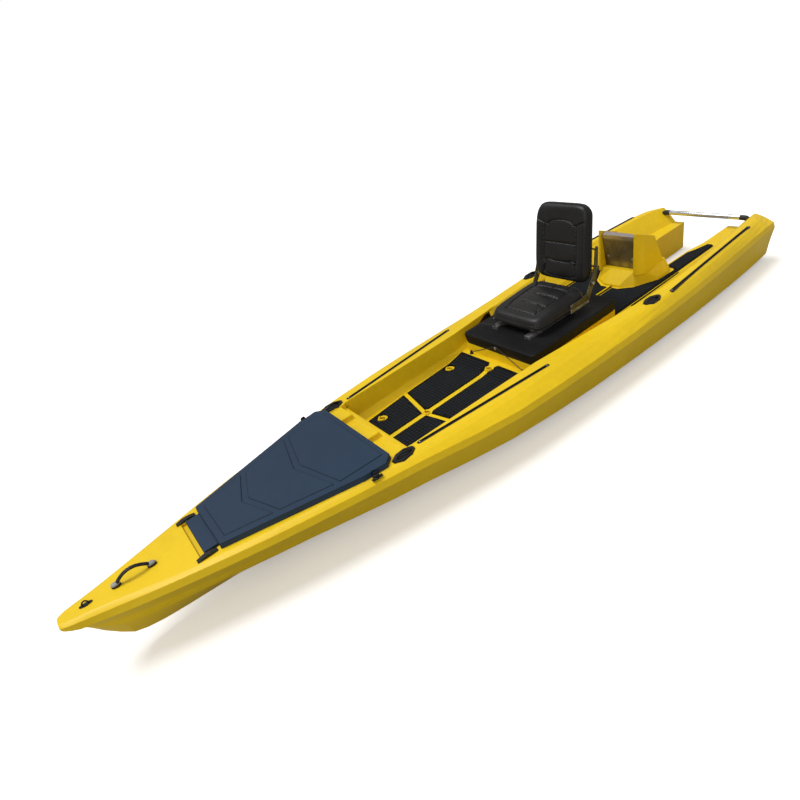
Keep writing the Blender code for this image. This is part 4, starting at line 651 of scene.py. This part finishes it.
def screws_tree():
    """A screw head on each point, turned by the point's own 'turn' value."""
    tree, given = node_group("Screw heads", {"Head": None})
    head = add_node(tree, "GeometryNodeObjectInfo", {"Object": given["Head"]})
    turn = add_node(tree, "GeometryNodeInputNamedAttribute", {"Name": "turn"}, data_type="FLOAT_VECTOR")
    return end_group(
        tree, given, {"Points": given["Geometry"], "Rotation": turn.outputs[0], "Instance": head.outputs["Geometry"]})


def tree_named(name, maker):
    return bpy.data.node_groups.get(name) or maker()


def carrier_of(name, points, edges=()):
    """An object with loose points and edges, for a geometry tree to work on."""
    mesh = bpy.data.meshes.new(name)
    mesh.from_pydata([tuple(map(float, p)) for p in points], list(edges), [])
    made = bpy.data.objects.new(name, mesh)
    bpy.context.scene.collection.objects.link(made)
    return made


def surface_of(node):
    """A ray test against a node's own mesh."""
    mesh = NODES[node].data
    mesh.calc_loop_triangles()
    points = [v.co.copy() for v in mesh.vertices]
    return BVHTree.FromPolygons(points, [tuple(t.vertices) for t in mesh.loop_triangles])


def grid_on(node, pitch, reach, low_z):
    """Grid points on a node's top face, where a square pad of that reach fits whole."""
    tree = surface_of(node)
    low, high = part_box(node)
    above, down = high.z + 0.05, Vector((0, 0, -1))
    probes = ((0, 0), (-1, -1), (1, -1), (1, 1), (-1, 1))
    points = []
    for i in range(math.ceil(low.x / pitch), math.floor(high.x / pitch) + 1):
        for j in range(math.ceil(low.y / pitch), math.floor(high.y / pitch) + 1):
            x, y = (i + 0.5) * pitch, (j + 0.5) * pitch
            heights = []
            for a, b in probes:
                hit = tree.ray_cast(Vector((x + a * reach, y + b * reach, above)), down)
                if hit[0] is None or hit[1].z < LEVEL_ENOUGH or hit[0].z < low_z:
                    break
                heights.append(hit[0].z)
            if len(heights) == len(probes):
                points.append((x, y, min(heights) - PAD_SINK))
    return points


def add_pads(name, points, width, height, taper, finish):
    """Grid pads on points, as a piece that rides the hull."""
    if not points:
        raise RuntimeError(f"{name}: no room for a pad")
    values = {"Width": width, "Height": height, "Taper": taper, "Material": finish}
    pads = apply_group(carrier_of(name, points), tree_named("Grid pads", pads_tree), values)
    register_piece(pads, "hull")


def seat_point(across, along, up):
    """World point of the seat cushion's own frame."""
    return place(across, SEAT_S[0] + along, SEAT_LOW + up)


def back_point(across, along, up):
    """World point of the back's own frame, which leans aft."""
    s = BACK_FOOT[0] + along * math.sin(BACK_LEAN) - up * math.cos(BACK_LEAN)
    h = BACK_FOOT[1] + along * math.cos(BACK_LEAN) + up * math.sin(BACK_LEAN)
    return place(across, s, h)


class Pad:
    """A sewn pad: a crowned face with drawn channels, sides that pull in between the corners, and a flat underside."""

    def __init__(self, half, depth, crown, seams, panels, to_world, seam_depth):
        self.half, self.depth, self.crown = half, depth, crown
        self.seams, self.panels, self.to_world = seams, panels, to_world
        self.seam_depth = seam_depth

    def corner(self, u, v):
        """Rounds the square (u, v) plan to a soft rectangle."""
        w = 2 * v - 1
        reach = np.maximum(np.abs(u), np.abs(w))
        power = (np.abs(u) ** PAD_CORNER_POWER + np.abs(w) ** PAD_CORNER_POWER) ** (1 / PAD_CORNER_POWER)
        scale = np.where(reach > 1e-9, reach / np.maximum(power, 1e-9), 1.0)
        return u * scale, (w * scale + 1) / 2, reach

    def plan(self, a, share):
        """Metres across and along, with the sides pulled in between the corners."""
        waist = 1 - PAD_WAIST * np.sin(np.pi * np.clip(share, 0, 1))
        pulled = PAD_PULL * np.cos(np.pi * np.clip(a, -1, 1) / 2) * np.cos(np.pi * share)
        return a * self.half(share) * waist, share * self.depth + pulled

    def distance(self, u, v, seam):
        """Distance in metres to a seam line of (u, v) points, and how far along it."""
        near = np.full(np.broadcast(u, v).shape, 1e9)
        run = np.zeros_like(near)
        px, py = u * self.half(0.5), v * self.depth
        walked = 0.0
        for (u0, v0), (u1, v1) in zip(seam[:-1], seam[1:]):
            ax, ay = u0 * self.half(0.5), v0 * self.depth
            bx, by = u1 * self.half(0.5), v1 * self.depth
            length = math.hypot(bx - ax, by - ay)
            t = np.clip(((px - ax) * (bx - ax) + (py - ay) * (by - ay)) / length**2, 0, 1)
            d = np.hypot(px - ax - t * (bx - ax), py - ay - t * (by - ay))
            closer = d < near
            near = np.where(closer, d, near)
            run = np.where(closer, walked + t * length, run)
            walked += length
        return near, run

    def surface(self, u, v):
        """The crowned face, with its drawn seams, their puckers and the filling between them."""
        u, v = np.asarray(u, float), np.asarray(v, float)
        a, share, edge = self.corner(u, v)
        fall = 1 - np.maximum(0.0, (edge - (1 - PAD_ROUNDING)) / PAD_ROUNDING) ** 2.4
        rise = self.crown(a, share) * (PAD_RIM_SHARE + (1 - PAD_RIM_SHARE) * np.sqrt(np.maximum(fall, 0.0)))
        drawn = np.zeros_like(rise)
        ripple = np.zeros_like(rise)
        for seam in self.seams:
            near, run = self.distance(u, v, seam)
            drawn = np.maximum(drawn, 1 / (1 + (near / SEAM_HALF_WIDTH) ** 2) ** 1.2)
            pucker = np.sin(run * 2 * math.pi / PUCKER_PITCH + 3 * np.sin(run * 37.0))
            ripple += PUCKER_HEIGHT * pucker * np.exp(-((near - PUCKER_AT) / PUCKER_REACH) ** 2)
        live = np.clip((1 - edge) / SEAM_FADE, 0, 1)
        rise = rise - self.seam_depth * drawn * live + (self.panels(u, v) + ripple) * live
        across, along = self.plan(a, share)
        return self.to_world(across, along, rise)

    def side(self, u, v, t):
        """The side from the face's rim at t 0 to the underside at t 1."""
        a, share, _ = self.corner(np.asarray(u, float), np.asarray(v, float))
        across, along = self.plan(a, share)
        mid = self.depth / 2
        bulge = SIDE_BULGE * math.sin(math.pi * t) - SIDE_TUCK * max(0.0, t - TUCK_FROM) / (1 - TUCK_FROM)
        norm = np.maximum(np.hypot(across / self.half(0.5), (along - mid) / mid), 1e-9)
        out_x = across / self.half(0.5) / norm
        out_y = (along - mid) / mid / norm
        up = self.crown(a, share) * PAD_RIM_SHARE * (1 - t)
        return self.to_world(across + out_x * bulge, along + out_y * bulge, up)

    def mesh(self, rows):
        """Points and faces of the whole pad, and the (u, v) places round its rim."""
        across = np.linspace(-1, 1, rows)
        u, v = np.meshgrid(across, (across + 1) / 2)
        points = list(self.surface(u, v).reshape(-1, 3))
        faces = grid_faces(rows, rows)
        rim = grid_rim(rows, rows)
        rim_u, rim_v = u.reshape(-1)[rim], v.reshape(-1)[rim]
        above = rim
        for ring in range(1, SIDE_RINGS + 1):
            here = range(len(points), len(points) + len(rim))
            points.extend(self.side(rim_u, rim_v, ring / SIDE_RINGS))
            faces += strip(above, here)
            above = here
        faces.append(tuple(above))
        return points, faces, rim_u, rim_v

    def stitch_lines(self):
        """Points and edges of the lines of stitches, one beside each seam that is long enough."""
        lines, edges = [], []
        size = np.array((self.half(0.5), self.depth))
        for seam in self.seams:
            ends = np.array(seam)
            steps = np.diff(ends, axis=0)
            if np.linalg.norm(steps * size, axis=1).sum() < STITCHED_SEAM:
                continue
            beside = []
            for end, step in zip(ends, steps):
                along = step * size / np.linalg.norm(step * size)
                aside = STITCH_OFFSET * np.array((-along[1], along[0])) / size
                beside += [end + step * t + aside for t in np.linspace(0.03, 0.97, 12)]
            first = len(lines)
            lines.extend(self.surface(*np.array(beside).T))
            edges.extend((first + k, first + k + 1) for k in range(len(beside) - 1))
        return lines, edges


def swell(rows, v, height):
    """How high the filling stands between each two seams that cross the pad at those rows."""
    risen = np.zeros(np.shape(v))
    for low, high in zip(rows[:-1], rows[1:]):
        t = np.clip((v - low) / (high - low), 0, 1)
        risen += height * np.sin(np.pi * t) ** 0.8
    return risen


def seat_pad(seam_depth):
    """The seat's pad: four cross seams joined at their ends, with short seams towards the rear corners."""
    rows = (0.14, 0.36, 0.60, 0.82)

    def half(share):
        return SEAT_HALF - 0.003 * (1 - share)

    def crown(a, share):
        top = SEAT_FRONT_TOP + (SEAT_REAR_TOP - SEAT_FRONT_TOP) * share - SEAT_LOW
        return top + SEAT_CROWN * (1 - a * a) * np.sin(np.pi * np.clip(share, 0, 1)) - 0.005 * (1 - np.abs(a) ** 3)

    def border(v):
        return 0.60 + 0.06 * v

    def panels(u, v):
        return np.clip(1 - (u / border(v)) ** 4, 0, 1) * swell(rows, v, 0.0038)

    seams = [[(-border(c), c), (border(c), c)] for c in rows]
    seams += [[(side * border(c), c) for c in np.linspace(rows[0], rows[-1], 6)] for side in (-1, 1)]
    seams += [[(0.0, rows[-1]), (0.0, 0.94)]]
    seams += [[(side * border(rows[-1]), rows[-1]), (side * 0.80, 0.965)] for side in (-1, 1)]
    return Pad(half, SEAT_S[1] - SEAT_S[0], crown, seams, panels, seat_point, seam_depth)


def back_pad(seam_depth):
    """The back's pad: an arched header, a rounded foot and two cross seams between the bolsters."""
    rows = (0.045, 0.26, 0.51, 0.78)
    inner = 0.62

    def half(share):
        return BACK_HALF[0] - 0.002 + (BACK_HALF[1] - BACK_HALF[0]) * share

    def crown(a, share):
        return BACK_THICKNESS * (0.92 + 0.06 * np.sin(np.pi * share)) + 0.009 * a**2 - 0.007

    def header(u):
        return float(0.765 + 0.045 * np.cos(np.pi * np.clip(u / inner, -1, 1) / 2))

    def panels(u, v):
        bolster = 0.004 * np.clip((np.abs(u) - inner) / 0.12, 0, 1) * np.clip((0.95 - v) / 0.2, 0, 1)
        return bolster + np.clip(1 - (u / inner) ** 4, 0, 1) * swell(rows, v, 0.0036)

    seams = [[(u, header(u)) for u in np.linspace(-inner, inner, 13)]]
    seams += [[(-inner, c), (inner, c)] for c in rows[1:3]]
    foot = [(inner * math.cos(t), 0.10 - 0.055 * math.sin(t)) for t in np.linspace(0, math.pi, 13)]
    seams += [[(inner, header(inner)), *foot, (-inner, header(inner))]]
    seams += [[(side * inner, header(inner)), (side * 0.90, 0.80)] for side in (-1, 1)]
    return Pad(half, BACK_HEIGHT, crown, seams, panels, back_point, seam_depth)


def make_pad(name, node, body, pad, sizes, finish):
    """One cushion with its welts and its stitches, in place of the model's plain solid."""
    points, faces, rim_u, rim_v = pad.mesh(sizes.pad_rows)
    made = new_object(name, points, faces, finish["black_vinyl"])
    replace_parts(register_piece(made, body), node)
    for label, t in WELTS:
        loop = pad.side(rim_u, rim_v, t)
        out = loop - loop.mean(axis=0)
        out /= np.linalg.norm(out, axis=1)[:, None]
        welt = closed_tube(f"{name}_{label}", (loop + WELT_LIFT * out)[::2], WELT_R, finish["black_vinyl"])
        register_piece(welt, body)
    carrier = carrier_of(f"{name}_stitches", *pad.stitch_lines())
    values = {"Pitch": sizes.stitch_pitch, "Material": finish["black_rubber"]}
    thread = apply_group(carrier, tree_named("Stitches", stitches_tree), values)
    register_piece(thread, body)


def screw_head(finish):
    """A pan head with a cross recess drawn into its crown."""
    angles = [2 * math.pi * k / SCREW_SIDES for k in range(SCREW_SIDES)]
    points = []
    for ring in range(SCREW_RINGS + 1):
        r = SCREW_R * (1 - ring / SCREW_RINGS)
        for angle in angles:
            x, y = r * math.cos(angle), r * math.sin(angle)
            z = SCREW_HEIGHT * math.sqrt(max(0.0, 1 - (r / SCREW_R) ** 2) * 0.75 + 0.25 * (r < SCREW_R))
            if min(abs(x), abs(y)) < 0.12 * SCREW_R and 0 < r < 0.62 * SCREW_R:
                z -= 0.45 * SCREW_HEIGHT
            points.append((x, y, z))
    points += [(SCREW_R * math.cos(angle), SCREW_R * math.sin(angle), -SCREW_SKIRT) for angle in angles]
    skirt = ring_of(SCREW_RINGS + 1, SCREW_SIDES)
    faces = []
    for ring in range(SCREW_RINGS):
        faces += strip(ring_of(ring, SCREW_SIDES), ring_of(ring + 1, SCREW_SIDES))
    faces += strip(skirt, ring_of(0, SCREW_SIDES))
    faces.append(tuple(reversed(skirt)))
    made = new_object("screw_head", points, faces, finish)
    shell = bmesh.new()
    shell.from_mesh(made.data)
    bmesh.ops.remove_doubles(shell, verts=shell.verts, dist=1e-6)
    bmesh.ops.recalc_face_normals(shell, faces=shell.faces)
    shell.to_mesh(made.data)
    shell.free()
    return made


class PieceOperator:
    """Shared by the operators that make the kayak's pieces."""

    bl_options = {"REGISTER", "UNDO"}


class KAYAK_OT_camera(PieceOperator, bpy.types.Operator):
    """Stand the camera where the photographer stood"""

    bl_idname = "kayak.camera"
    bl_label = "Add camera"

    def execute(self, context):
        data = bpy.data.cameras.new("Camera")
        data.sensor_width = CAMERA_SENSOR
        data.lens = CAMERA_LENS
        data.clip_end = CAMERA_CLIP
        camera = bpy.data.objects.new("Camera", data)
        context.scene.collection.objects.link(camera)
        axes = Matrix((CAMERA_RIGHT, CAMERA_UP, tuple(-c for c in CAMERA_FORWARD))).transposed()
        camera.matrix_world = Matrix.Translation(CAMERA_AT) @ axes.to_4x4()
        context.scene.camera = camera
        return {"FINISHED"}


class KAYAK_OT_finishes(PieceOperator, bpy.types.Operator):
    """Give every piece of the model its own worn, grained material"""

    bl_idname = "kayak.finishes"
    bl_label = "Dress the model"

    def execute(self, context):
        finish = finishes()
        slots = {part["node"]: part["material_slot"] for part in frame["record"]["subparts"]}
        for name, node in NODES.items():
            if slots[name] not in finish:
                raise RuntimeError(f"{name}: no finish for {slots[name]}")
            for slot in node.material_slots:
                slot.material = finish[slots[name]]
        return {"FINISHED"}


class KAYAK_OT_mat_grids(PieceOperator, bpy.types.Operator):
    """Press the square grid into the foam mats"""

    bl_idname = "kayak.mat_grids"
    bl_label = "Add mat grids"

    def execute(self, context):
        sizes = context.scene.kayak_sizes
        finish = finishes()["foam_pads"]
        width = sizes.mat_pitch - sizes.mat_groove
        for side, _ in SIDES:
            for mat in MATS:
                node = f"{mat}_{side}"
                points = grid_on(node, sizes.mat_pitch, width / 2 + MAT_PAD_EDGE, 0.0)
                add_pads(f"{node}_grid", points, width, MAT_PAD_HEIGHT, MAT_PAD_TAPER, finish)
        return {"FINISHED"}


class KAYAK_OT_base_grip(PieceOperator, bpy.types.Operator):
    """Stud the grip panel in front of the seat"""

    bl_idname = "kayak.base_grip"
    bl_label = "Add base studs"

    def execute(self, context):
        finish = finishes()["base_plastic"]
        pitch = context.scene.kayak_sizes.stud_pitch
        low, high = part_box("seat_base")
        points = grid_on("seat_base", pitch, pitch * STUD_ROOM, high.z - 0.0004)
        points = [p for p in points if p[1] < low.y + GRIP_PANEL_LENGTH]
        add_pads("seat_base_studs", points, pitch * STUD_WIDTH, STUD_HEIGHT, STUD_TAPER, finish)
        return {"FINISHED"}


class KAYAK_OT_ledge(PieceOperator, bpy.types.Operator):
    """Mould the ledge with three blocks between the lid and the cockpit"""

    bl_idname = "kayak.ledge"
    bl_label = "Add ledge"

    def execute(self, context):
        def soft(distance, reach):
            share = np.clip(distance / reach, 0, 1)
            return share * share * (3 - 2 * share)

        fore, aft = LEDGE_S
        columns, rows = LEDGE_GRID
        side_bend, end_bend = LEDGE_BLOCK_BENDS
        x, s = np.meshgrid(np.linspace(-LEDGE_HALF, LEDGE_HALF, columns), np.linspace(fore, aft, rows))
        walled = np.minimum(LEDGE_HALF - np.abs(x), s - fore)
        h = LEDGE_FLOOR + (LEDGE_RIM - LEDGE_FLOOR) * (1 - soft(walled, LEDGE_BEND))
        ended = soft(fore + LEDGE_BLOCK_LENGTH + end_bend - s, end_bend)
        for middle, half in LEDGE_BLOCKS:
            share = soft(half + side_bend - np.abs(x - middle), side_bend) * ended
            h = np.maximum(h, LEDGE_FLOOR + (LEDGE_BLOCK_TOP - LEDGE_FLOOR) * share)
        points = list(place(x, s, h).reshape(-1, 3)) + list(place(x, s, h - LEDGE_SHELL).reshape(-1, 3))
        below = columns * rows
        faces = []
        for quad in grid_faces(columns, rows):
            faces += [quad, tuple(below + corner for corner in reversed(quad))]
        rim = grid_rim(columns, rows)
        faces += strip(rim, [below + k for k in rim])
        ledge = new_object("cockpit_ledge", points, faces, finishes()["hull_yellow"])
        register_piece(ledge, "hull")
        return {"FINISHED"}


class KAYAK_OT_cushions(PieceOperator, bpy.types.Operator):
    """Sew the seat cushion and the back"""

    bl_idname = "kayak.cushions"
    bl_label = "Add cushions"

    def execute(self, context):
        sizes = context.scene.kayak_sizes
        finish = finishes()
        make_pad("seat_cushion_sewn", "seat_cushion", "seat", seat_pad(sizes.seam_depth), sizes, finish)
        make_pad("back_cushion_sewn", "back_cushion", "backrest", back_pad(sizes.seam_depth), sizes, finish)
        return {"FINISHED"}


class KAYAK_OT_stern_bar(PieceOperator, bpy.types.Operator):
    """Draw the stern bar's tube between its two elbows"""

    bl_idname = "kayak.stern_bar"
    bl_label = "Add stern bar"

    def execute(self, context):
        low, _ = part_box("bar_elbow_port")
        half = low.x + BAR_ENTRY
        angles = np.arange(BAR_SIDES) * 2 * math.pi / BAR_SIDES
        profile = [(along - half, BAR_TUBE_R + out) for along, out in BAR_END]
        profile += [(-x, r) for x, r in reversed(profile)]
        points = [place(x, BAR_S + r * math.cos(a), BAR_H + r * math.sin(a)) for x, r in profile for a in angles]
        rings = [ring_of(index, BAR_SIDES) for index in range(len(profile))]
        faces = [tuple(rings[0]), tuple(rings[-1])]
        for first, second in zip(rings[:-1], rings[1:]):
            faces += strip(first, second)
        tube = new_object("stern_bar_tube", points, faces, finishes()["anodised_aluminium"])
        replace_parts(register_piece(tube, "hull"), "stern_bar")
        return {"FINISHED"}


class KAYAK_OT_screws(PieceOperator, bpy.types.Operator):
    """Drive the screws of the gear tracks and the rivets of the transom plate"""

    bl_idname = "kayak.screws"
    bl_label = "Add screws"

    def execute(self, context):
        finish = finishes()["zinc_steel"]
        points, turns = [], []
        for _, sign in SIDES:
            for ends in TRACK_ENDS:
                fore, aft = np.array(ends)
                inset = (aft - fore) / np.linalg.norm(aft - fore) * SCREW_INSET
                for x, s in (fore + inset, aft - inset):
                    points.append(place(sign * x, s, TRACK_TOP))
                    turns.append((0.0, 0.0, 0.4 + 1.7 * len(points)))
            up = BOARD_HEIGHT - RIVET_DROP
            s = BOARD_FOOT[0] + HEM_FACE * math.cos(BOARD_LEAN) - up * math.sin(BOARD_LEAN)
            h = BOARD_FOOT[1] + HEM_FACE * math.sin(BOARD_LEAN) + up * math.cos(BOARD_LEAN)
            points.append(place(sign * RIVET_X, s, h))
            turns.append((math.pi / 2 + BOARD_LEAN, 0.0, 0.0))
        carrier = carrier_of("deck_screws", points)
        turn = carrier.data.attributes.new("turn", "FLOAT_VECTOR", "POINT")
        turn.data.foreach_set("vector", np.array(turns, np.float32).reshape(-1))
        head = screw_head(finish)
        screws = apply_group(carrier, tree_named("Screw heads", screws_tree), {"Head": head, "Material": finish})
        bpy.data.objects.remove(head, do_unlink=True)
        register_piece(screws, "hull")
        return {"FINISHED"}


class KAYAK_OT_stage(PieceOperator, bpy.types.Operator):
    """Lay a pale floor and hang soft studio lights"""

    bl_idname = "kayak.stage"
    bl_label = "Add studio"

    def execute(self, context):
        scene = context.scene
        corners = [(a * FLOOR_REACH, b * FLOOR_REACH, 0) for a, b in ((-1, -1), (1, -1), (1, 1), (-1, 1))]
        floor = new_object("floor", corners, [(0, 1, 2, 3)], floor_finish("studio_floor"), smooth=False)
        for name, at, strength, spread in LAMPS:
            data = bpy.data.lights.new(name, "SUN")
            data.energy = strength
            data.angle = math.radians(spread)
            lamp = bpy.data.objects.new(name, data)
            lamp.location = at
            lamp.rotation_euler = (-Vector(at)).to_track_quat("-Z", "Y").to_euler()
            scene.collection.objects.link(lamp)
        world = bpy.data.worlds.new("studio")
        world.use_nodes = True
        tree = world.node_tree
        tree.nodes.clear()
        to_camera = tree.nodes.new("ShaderNodeLightPath").outputs["Is Camera Ray"]
        soft = add_node(tree, "ShaderNodeBackground", {"Color": SKY_COLOUR, "Strength": SKY_STRENGTH})
        seen = add_node(tree, "ShaderNodeBackground", {"Color": (1.0, 1.0, 1.0)})
        mix = add_node(tree, "ShaderNodeMixShader", {0: to_camera, 1: soft.outputs[0], 2: seen.outputs[0]})
        add_node(tree, "ShaderNodeOutputWorld", {"Surface": mix.outputs[0]})
        scene.world = world
        scene.view_settings.view_transform = "Standard"
        return {"FINISHED"}


STEPS = (
    KAYAK_OT_camera,
    KAYAK_OT_finishes,
    KAYAK_OT_mat_grids,
    KAYAK_OT_base_grip,
    KAYAK_OT_ledge,
    KAYAK_OT_cushions,
    KAYAK_OT_stern_bar,
    KAYAK_OT_screws,
    KAYAK_OT_stage,
)


class KAYAK_PT_panel(bpy.types.Panel):
    """Sizes, colours and steps of the kayak"""

    bl_label = "Kayak"
    bl_idname = "KAYAK_PT_panel"
    bl_space_type = "VIEW_3D"
    bl_region_type = "UI"
    bl_category = "Kayak"

    def draw(self, context):
        layout = self.layout
        for group in (context.scene.kayak_colours, context.scene.kayak_sizes):
            column = layout.column(align=True)
            for name in group.__annotations__:
                column.prop(group, name)
        column = layout.column(align=True)
        for step in STEPS:
            column.operator(step.bl_idname)


CLASSES = (KayakColours, KayakSizes, *STEPS, KAYAK_PT_panel)


def register():
    for kind in CLASSES:
        bpy.utils.register_class(kind)
    bpy.types.Scene.kayak_colours = PointerProperty(type=KayakColours)
    bpy.types.Scene.kayak_sizes = PointerProperty(type=KayakSizes)


def unregister():
    del bpy.types.Scene.kayak_sizes
    del bpy.types.Scene.kayak_colours
    for kind in reversed(CLASSES):
        bpy.utils.unregister_class(kind)


def main():
    register()
    bpy.ops.kayak.camera()
    bpy.ops.kayak.finishes()
    bpy.ops.kayak.mat_grids()
    bpy.ops.kayak.base_grip()
    bpy.ops.kayak.ledge()
    bpy.ops.kayak.cushions()
    bpy.ops.kayak.stern_bar()
    bpy.ops.kayak.screws()
    bpy.ops.kayak.stage()


if __name__ == "__main__":
    main()
